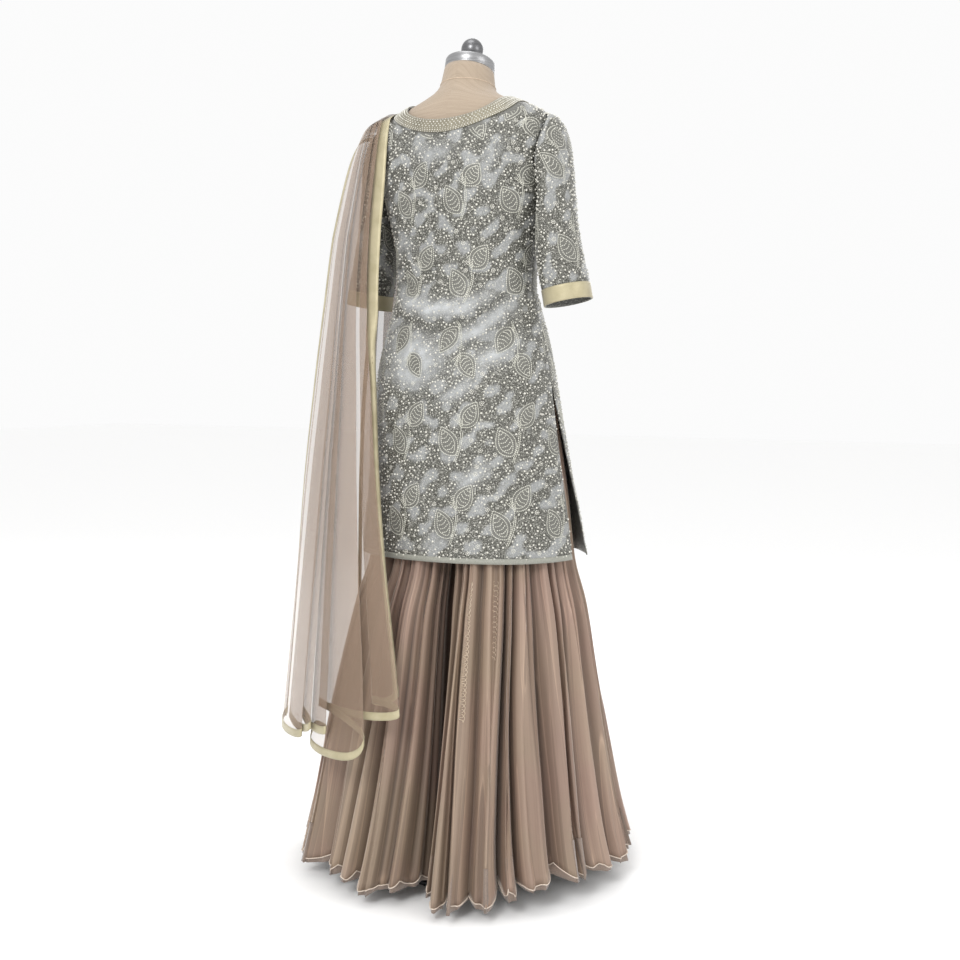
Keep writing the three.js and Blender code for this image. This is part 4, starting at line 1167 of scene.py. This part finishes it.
def addNeckBeads(panel, ribbonPoints):
    # Staggered rows of beads fill the upper part of the ribbon, and close ones run along its lower edge.
    cloth = clothOf(ribbonPoints)
    columns = ribbonPoints.shape[1]
    length = cloth["across"][-1, -1] - cloth["across"][-1, 0]
    parts = []
    for k, (share, size, step) in enumerate(tunic["neckRows"]):
        count = int(length / step)
        column = 0.6 + (columns - 2.2) * (np.arange(count) + 0.25 + 0.5 * (k % 2)) / count
        row = np.full(count, share * (len(ribbonPoints) - 1))
        normals = unit(readGrid(cloth["normals"], row, column))
        spots = readGrid(cloth["points"], row, column) + normals * (tunic["onTop"] + tunic["trim"])
        parts.append(strew(bigDome if size > 1.5 else smallDome, spots, normals, size))
    vertices, faces = joined(parts)
    return addPiece("tunic_neck_beads_" + panel, vertices, faces, pearl, "bead_pearl")


sleeve = {
    # innerX, innerZ, outerX, outerZ, half depth, y
    "rings": [
        (158.5, 1235, 181, 1375, 51, 3), (159, 1229, 195, 1356, 54, 3),
        (158, 1221, 203.5, 1328, 54, 3), (155.5, 1207, 208.5, 1290, 53, 3),
        (152, 1186, 213, 1242, 52, 2), (148.5, 1156, 219, 1188, 50, 1),
        (149.5, 1112, 229, 1137, 47.5, -2), (156, 1068, 240, 1085, 45, -6),
        (160.5, 1040, 245, 1057, 44, -8),
    ],
    "seam": 0.6, "headLift": 1.6, "ease": 0.6, "easeSize": 50,
    "lean": {"right": 0, "left": 16},
    "sprigField": (200, 360),
    "sprigStart": {"right": (14, 30, 1), "left": (14, 30, -1)}, "seed": {"right": 31, "left": 37},
    "density": 0.21,  # beads, as a share of a tunic panel's
    "around": 84, "between": 9,
    "perDegree": 0.9,  # millimetres round the sleeve for each degree
    # Rows of height, width and line. Points are degrees from the sleeve's top towards the back, and height.
    "creases": [
        (-3.5, 8, [(120, 1250), (100, 1215), (70, 1190)]),
        (3, 9, [(135, 1225), (110, 1185), (84, 1160)]),
        (-3, 8, [(62, 1330), (74, 1280), (96, 1240)]),
        (2, 12, [(30, 1300), (40, 1230), (30, 1170)]),
        (-2, 8, [(140, 1130), (100, 1112), (60, 1120)]),
        (-3, 8, [(-120, 1240), (-96, 1200), (-70, 1180)]),
        (-2.5, 8, [(-60, 1310), (-76, 1260), (-100, 1230)]),
    ],
}


def armholePoint(around):
    z = mixed(tunic["armpit"], tunic["shoulderTip"], 0.5 + 0.5 * np.cos(around))
    isBack = np.sin(around) > 0
    reach = np.where(isBack, edgeTurn("back", z), edgeTurn("front", z))
    turn = np.where(isBack, reach, math.pi - reach)
    points = tunicPoint(turn, z)
    points[..., 0] += sleeve["seam"]
    points[..., 2] += sleeve["headLift"] * np.maximum(0, np.cos(around)) ** 3
    return points


def sleeveGrid(side):
    columns = sleeve["around"]
    around = 2 * math.pi * np.arange(columns) / columns
    place = around if side == "left" else -around
    rings = [armholePoint(place)]
    for innerX, innerZ, outerX, outerZ, depth, y in sleeve["rings"]:
        up = np.array([outerX - innerX, 0, outerZ - innerZ]) / 2
        middle = np.array([(outerX + innerX) / 2, y, (outerZ + innerZ) / 2])
        rings.append(middle + up * np.cos(place)[:, None] + np.array([0, depth, 0]) * np.sin(place)[:, None])
    rings = np.array(rings)[::-1]
    # Rings between the given ones, on a smooth curve.
    rows = np.arange(len(rings))
    fine = np.linspace(0, len(rings) - 1, (len(rings) - 1) * sleeve["between"] + 1)
    table = np.concatenate([rows[:, None], rings.reshape(len(rings), -1)], axis=1)
    names = ["c" + str(k) for k in range(table.shape[1] - 1)]
    read = smoothTable("row " + " ".join(names), table)(fine)
    points = np.stack([read[name] for name in names], axis=1).reshape(len(fine), columns, 3)
    degreesAround = (np.degrees(place) + 180) % 360 - 180
    perDegree = sleeve["perDegree"]
    creases = [(out, wide, [(t * perDegree, h) for t, h in line]) for out, wide, line in sleeve["creases"]]
    out = creaseHeight(degreesAround[None, :] * perDegree + 0 * points[..., 2], points[..., 2], creases)
    share = np.linspace(0, 1, len(fine))[:, None]
    calm = np.clip((1 - share) / 0.12, 0, 1) * np.clip(share / 0.12, 0, 1)
    centre = points.mean(axis=1, keepdims=True)
    ease = softNoise(points, sleeve["easeSize"], 8) * sleeve["ease"]
    points = points + unit(points - centre) * ((out + ease) * calm)[..., None]
    points[..., 0] += sleeve["lean"][side] * easedStep(tunic["armpit"] + 30 - points[..., 2], 0, 250)
    if side == "right":
        points[..., 0] *= -1
    return points


def makeSleeve(side):
    points = sleeveGrid(side)
    shell = addShell("tunic_sleeve_" + side + "_cloth", points, tunic["cloth"], beadedNet,
                     "tunic_embroidered_net", ring=True)
    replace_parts(shell, "tunic_sleeve_" + side)
    cuffRows = sleeve["between"] + 1
    cuff = addShell("tunic_cuff_ribbon_" + side + "_gold", points[:cuffRows], tunic["trim"], goldRibbon,
                    "gold_ribbon", ring=True, lift=tunic["onTop"] + tunic["trim"])
    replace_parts(cuff, "tunic_cuff_ribbon_" + side)
    above = points[cuffRows - 1:]
    cloth = clothOf(above, ring=True)
    places = sprigPlaces(*sleeve["sprigField"], *sleeve["sprigStart"][side])
    seed = sleeve["seed"][side]
    whole = clothOf(points, ring=True)
    lower = whole["up"][cuffRows - 1].mean()
    markCloth(shell, whole, [(x, y + lower, mirror, flip) for x, y, mirror, flip in places], seed, ring=True)
    beads = dressCloth("tunic_sleeve_" + side, cloth, places, seed, len(above) - 1.5, sleeve["density"])


trousers = {
    "columns": "z half front back x0 fold split round",
    "sections": [
        (15, 333, 314, 311, 7, 62, -34, 0.35), (110, 309, 288, 286, 9, 57, -34, 0.35),
        (230, 286, 259, 257, 8, 50, -34, 0.35), (380, 255, 225, 222, 1, 41, -34, 0.38),
        (500, 229, 194, 190, -6, 32, -34, 0.42), (585, 204, 162, 155, -9, 24, -34, 0.42),
        (690, 192, 147, 144, -8, 16, -34, 0.3), (780, 182, 136, 135, -4, 10, -10, 0.05),
        (905, 168, 116, 123, 0, 5, 0, 0.02), (980, 152, 104, 108, 0, 4, 0, 0.02),
        (1056.7, 126.5, 89.5, 84.5, 0, 3, 0, 0.02),
    ],
    "cloth": 1.2, "band": 1.6, "bandEase": 0.45, "bandBottom": 1057, "bandTop": 1092,
    "rollRadius": 1.1, "lining": 0.8,
    "crotchSeam": 780, "crotchClosed": 690, "hem": 15, "top": 1056.55,
    "hipSquare": 0.035, "legGap": 6, "unevenTurn": 2.8, "unevenFolds": 2.7,
    "swaySize": 9, "swayLength": 46, "wander": 1.4, "wanderLength": 150,
    "folds": 8, "innerFolds": 5, "innerDepth": 15, "outerShare": 0.75, "inset": 0.0012, "cornerDepth": 0.7,
    "outerSamples": 22, "innerSamples": 10, "rows": 60,
    "crestShape": 0.42, "crestDrop": 0.12, "valleyVary": 0.18, "ripple": 7.5, "smallFolds": (1.83, 3.17),
    "valleyRise": 9,
    # Where the hem hangs higher: leg, place along it, spread, height.
    "hemRises": [(-1, 0.26, 0.20, 30), (-1, 0.0, 0.12, 10), (-1, -0.2, 0.2, 14), (1, 0.55, 0.18, 13),
                 (1, 0.2, 0.2, 10)],
    # Chain stitches on the right leg's back: name, fold from the side seam, lowest and highest point.
    "chains": [("chain_a", 6.45, 330, 560), ("chain_b", 5.5, 430, 560)],
    "chainHalf": 3.2, "chainStep": 17, "chainSpread": 620, "chainLift": 0.7, "chainRadius": 0.55,
    "hemWave": 16, "hemLift": 8,
    "scallops": 21, "scallopDrift": 19, "scallopShape": 0.75, "scallopVary": 37,
    "liningHeight": 70, "liningInset": 2.4, "liningWave": 1.5, "liningWaves": 23,
}
trouserAt = smoothTable(trousers["columns"], trousers["sections"])


def foldHeight(count):
    return 0.5 - 0.5 * np.cos(2 * math.pi * count)


def legPoint(side, along, z):
    # The solid's leg with rounder crests, small folds between and a slow wander down the length.
    section = trouserAt(z)
    closing = easedStep(trousers["crotchSeam"] - z, 0, trousers["crotchSeam"] - trousers["crotchClosed"])
    back = np.where(along > 0, 1.0, -1.0)
    outerPart = np.minimum(np.abs(along) / trousers["outerShare"], 1)
    innerPart = np.maximum((np.abs(along) - trousers["outerShare"]) / (1 - trousers["outerShare"]), 0)
    folds = outerPart * trousers["folds"]
    uneven = np.sin(2 * math.pi * folds / trousers["unevenFolds"] + side) * easedStep(folds, 0, 1)
    settle = 1 - easedStep(folds, trousers["folds"] - 1, trousers["folds"])
    quarter = math.pi / 2
    evenTurn = mixed(quarter * np.abs(along), quarter * (outerPart + innerPart), closing)
    drift = np.sin(z / trousers["wanderLength"] + 1.7 * np.round(folds) + side)
    wander = trousers["wander"] * drift * easedStep(folds, 0, 1) * closing
    turn = evenTurn + np.radians(trousers["unevenTurn"] * uneven + wander) * settle

    def shelf(c):
        return (c + np.hypot(c, section["round"])) / 2

    outward = (shelf(np.cos(turn)) - shelf(-1)) / (shelf(1) - shelf(-1))
    gap = mixed(0.3, trousers["legGap"], closing) / 2
    full = 1 + trousers["hipSquare"] * (1 - closing) * np.sin(2 * turn) ** 2
    reach = full * (section["half"] + side * (section["x0"] - section["split"]) - gap)
    depth = full * np.where(along > 0, section["back"], section["front"])
    y = back * depth * np.sin(turn)
    sway = closing * trousers["swaySize"] * np.sin(y / trousers["swayLength"])
    sway = sway * (1 - np.minimum(1, 2 * outward))
    index = np.round(folds) * back + 2 * side
    valleySize = 1 + trousers["valleyVary"] * (np.sin(2.3 * index + 0.7) - 1)
    roundness = foldHeight(folds) ** trousers["crestShape"]
    valley = valleySize * (1 - roundness)
    crestDrop = trousers["crestDrop"] * (1 + np.sin(1.9 * (folds * back + side) + 1.1))
    atCorner = easedStep(folds, trousers["folds"] - 1, trousers["folds"])
    corner = mixed(1, trousers["cornerDepth"], atCorner) * (1 - innerPart) ** 2
    innerCount = innerPart * trousers["innerFolds"] + 0.25 * np.sin(2.6 * innerPart * trousers["innerFolds"])
    innerFold = np.minimum(trousers["innerDepth"], section["fold"]) * (1 - 0.5 * innerPart)
    innerFold = innerFold * foldHeight(innerCount) ** 1.4
    wide, narrow = trousers["smallFolds"]
    small = np.sin(2 * math.pi * folds * wide + 2.1 * side + 0.9 * back + z / 260)
    small = small + 0.7 * np.sin(2 * math.pi * folds * narrow + 1.3 * back - z / 190)
    ripple = trousers["ripple"] * small * np.minimum(section["fold"] / 30, 1) * (1 - innerPart) * roundness
    sink = section["fold"] * corner * (valley + crestDrop) + innerFold + ripple * 0.5 + np.abs(ripple) * 0.5
    x = section["split"] + side * (gap + reach * outward - np.cos(turn) * sink) + sway
    # How far the fold stands out here, which the finish turns into painted light on the crests and painted
    # shade in the valleys.
    paintedFoldLight = np.clip(roundness * (1 - 0.5 * (valleySize - 0.64)) - 0.12 * small, 0, 1)
    paintedFoldLight = mixed(paintedFoldLight, 0.62 - 0.45 * foldHeight(innerCount), innerPart > 0)
    return stacked(x, y - back * np.sin(turn) * sink, z), paintedFoldLight


def hemRise(side, along):
    folds = np.minimum(np.abs(along) / trousers["outerShare"], 1) * trousers["folds"]
    rise = trousers["valleyRise"] * (1 - foldHeight(folds) ** trousers["crestShape"])
    for leg, place, spread, height in trousers["hemRises"]:
        if leg == side:
            rise = rise + height * np.exp(-((along - place) / spread) ** 2)
    return rise


def hemHeight(side, along):
    # The sheer layer's rolled edge hangs in uneven scallops a little above the lining's.
    drift = 0.5 * np.sin(along * trousers["scallopDrift"] + side)
    count = along * trousers["scallops"] + drift + side * 0.3
    scallop = 1 - np.abs(np.sin(math.pi * count)) ** trousers["scallopShape"]
    size = 0.55 + 0.45 * np.sin(along * trousers["scallopVary"] + 2 * side)
    wave = trousers["hemWave"] * scallop * size
    return trousers["hem"] + trousers["hemLift"] + wave + hemRise(side, along)


def legShares(side, back):
    outerColumns = trousers["folds"] * trousers["outerSamples"]
    innerColumns = trousers["innerFolds"] * trousers["innerSamples"]
    share = np.concatenate([np.linspace(0, trousers["outerShare"], outerColumns + 1),
                            np.linspace(trousers["outerShare"], 1, innerColumns + 1)[1:]])
    if side * back < 0:
        share = share[::-1]
    return back * mixed(trousers["inset"], 1 - trousers["inset"], share)


def legGrid(side, back):
    along = legShares(side, back)
    up = np.linspace(0, 1, trousers["rows"]) ** 1.08
    z = mixed(hemHeight(side, along)[None, :], trousers["top"], up[:, None])
    return legPoint(side, along[None, :] + 0 * z, z)


def liningGrid(side, back):
    # The lower part of the lining, whose straight edge shows below the sheer layer.
    along = legShares(side, back)
    wave = trousers["liningWave"]
    low = trousers["hem"] + wave + wave * np.sin(along * trousers["liningWaves"]) + hemRise(side, along)
    z = np.linspace(0, trousers["liningHeight"], 7)[:, None] + low[None, :]
    points, _ = legPoint(side, along[None, :] + 0 * z, z)
    return points - gridNormals(points) * trousers["liningInset"]


def addChain(name, side, folds, low, high):
    # A faint line of chain stitches down the crest of a fold: two waves that cross.
    z = np.linspace(high, low, int((high - low) / 1.6))
    strands = []
    for number, way in enumerate((1, -1)):
        sideways = trousers["chainHalf"] * np.sin(2 * math.pi * z / trousers["chainStep"]) * way
        along = trousers["outerShare"] * folds / trousers["folds"] + sideways / trousers["chainSpread"]
        points, _ = legPoint(side, along, z)
        nearby, _ = legPoint(side, along + 0.004, z)
        out = unit(np.cross(points - nearby, [0, 0, 1.0]))
        out = out * np.where(np.sum(out * [0, 1, 0], axis=1) < 0, -1, 1)[:, None]
        points = points + out * trousers["chainLift"]
        strands.append(addTube(name + "_" + str(number), points, trousers["chainRadius"], seamThread,
                               "trouser_georgette", sides=4))
    return strands


def makeTrousers():
    for leg, side in (("right", -1), ("left", 1)):
        for panel, back in (("back", 1), ("front", -1)):
            points, paintedFoldLight = legGrid(side, back)
            name = "trouser_leg_" + leg + "_" + panel
            shell = addShell(name + "_cloth", points, trousers["cloth"], georgette, "trouser_georgette",
                             combed=True)
            # The fold shape, for the painted light and shade of the finish.
            markPoints(shell, "paintedFoldLight", np.tile(paintedFoldLight.ravel(), 2))
            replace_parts(shell, name)
            edge = points[0] + gridNormals(points)[0] * 0.2
            cord = addTube(name + "_hem_roll", edge, trousers["rollRadius"], hemThread,
                           "trouser_georgette", sides=5)
            strip = addShell(name + "_lining", liningGrid(side, back), trousers["lining"], lining,
                             "trouser_georgette")
            extra = []
            if name == "trouser_leg_right_back":
                for chain, folds, low, high in trousers["chains"]:
                    extra += addChain(name + "_" + chain, side, folds, low, high)
    z = np.linspace(trousers["bandBottom"], trousers["bandTop"], 12)[:, None]
    turn = -np.linspace(0, 2 * math.pi, 120, endpoint=False)[None, :]
    section = formAt(z + 0 * turn)
    ease = trousers["bandEase"] + trousers["band"]
    for side in ("half", "front", "back"):
        section[side] = section[side] + ease
    points = sectionPoint(section, turn + 0 * z, z + 0 * turn)
    band = addShell("trouser_waistband_cloth", points, trousers["band"], georgette, "trouser_georgette",
                    ring=True)
    # An even middle value of the painted fold light and shade for the flat band.
    markPoints(band, "paintedFoldLight", np.full(len(band.data.vertices), 0.55))
    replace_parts(band, "trouser_waistband")


scarf = {
    "columns": "z innerTurn innerReach outerTurn outerReach fold",
    "back": [
        (210, -8, 272, 69, 356, 28), (400, -1, 240, 71, 341, 24), (560, 10.5, 208, 72, 330, 20),
        (720, 25, 182, 73, 318, 17), (900, 39, 168, 74, 298, 14), (1050, 46.5, 166, 74, 277, 12),
        (1190, 50, 158, 74, 256, 10), (1310, 53.5, 144, 74, 226, 7),
    ],
    "pleats": 6, "outerShare": 0.09, "curled": 0.6, "archFoot": 1310, "archRound": 0.72,
    "ridgeInner": 129, "ridgeOuter": 204, "ridgeY": 2.5, "ridgeGap": 0.8, "ridgeFold": 5, "frontLift": 30,
    # How far the pleats lie over each other, from the neck edge to the outer edge: over 1 they double back.
    "laps": [(0, 6.7), (0.3, 6.9), (0.6, 6.9), (0.78, 6.0), (0.86, 2.6), (0.93, 0.7), (1, 0.2)],
    "lapAtHem": 0.94, "lapFade": (200, 900),
    "pleatSway": 1.4, "pleatSwayTurns": 1.7, "pleatSwayStart": 0.6,
    "hem": [(0, 372), (0.06, 358), (0.18, 330), (0.28, 320), (0.34, 290), (0.385, 254), (0.42, 252),
            (0.46, 280), (0.54, 294), (0.66, 276), (0.82, 268), (1, 284)],
    "hemSway": 16,
    "top": [(93, 1416), (127, 1404), (145, 1398), (163, 1391.5), (181, 1383), (195, 1371), (206, 1356)],
    "bustLeast": 6, "bustMost": 28, "bustZ": 1235, "bustSpread": 110,
    "net": 1.0, "seam": 0.3,
    "acrossSteps": 190, "fallRows": 100, "archRows": 24, "bendRows": 12, "bendPasses": 60,
    "ribbon": 25, "outerRibbon": 8, "hemRibbon": 14, "ribbonCloth": 0.5,
    "ribbonEase": 3, "neckShare": (0.06, 0.24),
    "edgeCurl": 13, "curlTop": 1050, "curlFade": 130,
}
scarfAt = smoothTable(scarf["columns"], scarf["back"])
scarfHem = smoothTable("across z", scarf["hem"])
scarfTop = smoothTable("x top", scarf["top"])
scarfLaps = smoothTable("across lap", scarf["laps"])


def pleatParts(across, neckShare):
    # The turn through the pleats, a window that flattens them at both edges, and pleats per width.
    pleated = 1 - neckShare - scarf["outerShare"]
    share = np.clip((across - neckShare) / pleated, 0, 1)
    margin = 0.5 / scarf["pleats"]
    window = easedStep(share, 0, margin) * (1 - easedStep(share, 1 - margin, 1))
    turn = 2 * math.pi * share
    sway = scarf["pleatSway"]
    turns = scarf["pleatSwayTurns"]
    start = scarf["pleatSwayStart"]
    theta = scarf["pleats"] * turn + sway * (np.sin(turn * turns + start) - math.sin(start))
    rate = scarf["pleats"] + sway * turns * np.cos(turn * turns + start)
    return theta, window, rate / pleated


def scarfPoint(part, across, t):
    # t runs from 0 at the hem to 1 where the arch over the shoulder starts, and to 2 on its ridge.
    hem = scarfHem(across)["z"] + (scarf["frontLift"] if part < 0 else 0)
    row = scarfAt(mixed(hem, scarf["archFoot"], np.clip(t, 0, 1)))
    spread = np.radians(row["outerTurn"] - row["innerTurn"])
    wide = np.sqrt(row["innerReach"] ** 2 + row["outerReach"] ** 2
                   - 2 * row["innerReach"] * row["outerReach"] * np.cos(spread))
    # The pleats leave the neck ribbon free, which takes a larger share where the fall is narrow.
    neckShare = np.clip((scarf["ribbon"] + scarf["ribbonEase"]) / wide, *scarf["neckShare"])
    theta, window, rate = pleatParts(across, neckShare)
    hem = hem + scarf["hemSway"] * (0.5 - 0.5 * np.cos(theta)) * window
    z = mixed(hem, scarf["archFoot"], np.clip(t, 0, 1))
    row = scarfAt(z)
    lapped = mixed(scarf["lapAtHem"], 1.0, easedStep(z, *scarf["lapFade"]))
    lap = scarfLaps(across)["lap"] * lapped * window / (2 * math.pi * rate)
    leaning = across + lap * np.sin(theta)
    # Below the shoulder the neck edge curls in, so its ribbon is seen edge on.
    curlShare = neckShare * scarf["curled"]
    curl = np.clip(1 - across / curlShare, 0, 1) * easedStep(scarf["curlTop"] - z, 0, scarf["curlFade"])
    leaning = mixed(leaning, curlShare, np.minimum(curl * 1.2, 1) * (across < curlShare))
    fold = row["fold"] * (0.5 - 0.5 * np.sin(theta)) * window - curl * scarf["edgeCurl"]

    def level(share):
        turn = np.radians(mixed(row["innerTurn"], row["outerTurn"], share))
        reach = mixed(row["innerReach"], row["outerReach"], share)
        return reach * np.sin(turn), reach * np.cos(turn)

    x, y = level(leaning)
    nextX, nextY = level(leaning + 0.01)
    run = np.hypot(nextX - x, nextY - y)
    x, y = x - fold * (nextY - y) / run, y + fold * (nextX - x) / run
    y = part * y
    if part < 0:
        swell = np.exp(-((z - scarf["bustZ"]) / scarf["bustSpread"]) ** 2)
        y = y - mixed(scarf["bustLeast"], scarf["bustMost"], swell)
    arch = np.clip(t - 1, 0, 1) * math.pi / 2
    over = np.maximum(np.sin(arch), 0) ** scarf["archRound"]
    x = mixed(x, mixed(scarf["ridgeInner"], scarf["ridgeOuter"], leaning), over)
    ridgeFold = scarf["ridgeFold"] * (0.5 - 0.5 * np.sin(theta)) * window
    ridge = scarfTop(x)["top"] + scarf["net"] + scarf["ridgeGap"] + ridgeFold
    y = np.where(t > 1, mixed(scarf["ridgeY"] + part * scarf["seam"], y, np.cos(arch)), y)
    z = np.where(t > 1, mixed(scarf["archFoot"], ridge, over), z)
    return stacked(x, y, z)


def scarfGrid(part, across, t):
    # Columns run anticlockwise seen from above and rows upward, so the outer side faces out.
    points = scarfPoint(part, across[None, :] + 0 * t[:, None], t[:, None] + 0 * across[None, :])
    # The net bends softly where the fall leaves the shoulder.
    foot = scarf["fallRows"] - 1
    reach = scarf["bendRows"]
    for _ in range(scarf["bendPasses"]):
        middle = points[foot - reach - 1:foot + reach + 1]
        points[foot - reach:foot + reach] = mixed(middle[1:-1], (middle[:-2] + middle[2:]) / 2, 0.6)
    if part > 0:
        return points[:, ::-1]
    return points


def sideStrip(points, first, width, steps):
    # A strip of the given flat width along one side of a grid.
    if not first:
        return sideStrip(points[:, ::-1], True, width, steps)[:, ::-1]
    lengths = np.linalg.norm(np.diff(points, axis=1), axis=2)
    along = np.concatenate([np.zeros((len(points), 1)), np.cumsum(lengths, axis=1)], axis=1)
    wanted = np.linspace(0, width, steps + 1)
    return np.array([[np.interp(wanted, along[i], points[i, :, k]) for k in range(3)]
                     for i in range(len(points))]).transpose(0, 2, 1)


def makeScarf():
    t = np.concatenate([np.linspace(0, 1, scarf["fallRows"]), 1 + np.linspace(0, 1, scarf["archRows"])[1:]])
    for name, part in (("back", 1), ("front", -1)):
        across = np.linspace(0, 1, scarf["acrossSteps"])
        points = scarfGrid(part, across, t)
        faces, corners = gridFaces(*points.shape[:2])
        flatAcross, flatUp = flatPlaces(points)
        flatAcross = np.broadcast_to(flatAcross.mean(axis=0), flatAcross.shape)
        uv = np.stack([flatAcross, flatUp], axis=-1)[corners[..., 0], corners[..., 1]]
        net = addPiece("scarf_" + name + "_net", points.reshape(-1, 3), faces, scarfNet, "scarf_net",
                       uv.reshape(-1, 2))
        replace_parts(net, "scarf_" + name)
        # The ribbon runs along the neck edge, the outer edge and the hem.
        cloth = scarf["ribbonCloth"]
        hemStrip = sideStrip(points.transpose(1, 0, 2), True, scarf["hemRibbon"], 3).transpose(1, 0, 2)
        strips = [("side", sideStrip(points, part < 0, scarf["ribbon"], 4), cloth + 0.2),
                  ("outer", sideStrip(points, part > 0, scarf["outerRibbon"], 3), cloth + 0.2),
                  ("hem", hemStrip, 2 * cloth + 0.3)]
        edging = [addShell("scarf_ribbon_" + name + "_" + edge, strip, cloth, goldRibbon, "gold_ribbon",
                           lift=lift) for edge, strip, lift in strips]
        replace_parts(edging[0], "scarf_ribbon_" + name)


makePanel("back")
makePanel("front")
print("tunic panels made")
makeSleeve("right")
makeSleeve("left")
print("sleeves made")
makeTrousers()
print("trousers made")
makeScarf()
print("scarf made")


stage = {
    "world": 0.97,
    "floor": 30,
    # Soft lights: place, point they face, size in metres, power in watts.
    "lights": {
        "key": ((-0.4, 3.4, 2.9), (0, 0, 0.95), 1.3, 62),
        "side": ((-3.0, 0.6, 2.0), (0, 0, 0.9), 1.4, 16),
        "top": ((0.2, 0.4, 3.6), (0, 0, 1.0), 1.4, 14),
        "front": ((0.8, -3.2, 2.4), (0, 0, 1.0), 2.0, 30),
    },
    "eye": (-1.172, 2.151, 0.93), "tip": 85.18, "heading": 208, "lens": 49.24,
}


def makeStage():
    bpy.ops.mesh.primitive_plane_add(size=stage["floor"], location=(0, 0, 0))
    floor = bpy.context.object
    floor.name = "floor"
    floor.data.materials.append(makeFloor())
    world = bpy.data.worlds.new("studio")
    bpy.context.scene.world = world
    world.use_nodes = True
    background = world.node_tree.nodes["Background"]
    background.inputs["Color"].default_value = (1.0, 1.0, 1.0, 1)
    background.inputs["Strength"].default_value = stage["world"]
    for name, (place, aim, size, power) in stage["lights"].items():
        data = bpy.data.lights.new(name, "AREA")
        data.size = size
        data.energy = power
        lamp = bpy.data.objects.new(name, data)
        bpy.context.collection.objects.link(lamp)
        lamp.location = place
        way = np.array(place) - np.array(aim)
        heading = math.atan2(way[1], way[0]) + math.pi / 2
        lamp.rotation_euler = (math.acos(way[2] / np.linalg.norm(way)), 0, heading)
    camera = bpy.data.cameras.new("camera")
    camera.sensor_width = 36
    camera.lens = stage["lens"]
    eye = bpy.data.objects.new("camera", camera)
    bpy.context.collection.objects.link(eye)
    eye.location = stage["eye"]
    eye.rotation_euler = (math.radians(stage["tip"]), 0, math.radians(stage["heading"]))
    bpy.context.scene.camera = eye
    bpy.context.scene.view_settings.view_transform = "Standard"


makeStage()
print("stage made")

triangles = 0
for piece in bpy.context.scene.objects:
    if piece.type == "MESH" and not piece.hide_render and piece.name != "floor":
        count = sum(len(face.vertices) - 2 for face in piece.data.polygons)
        triangles += count
        print("  ", piece.name, count)
print("triangles", triangles)
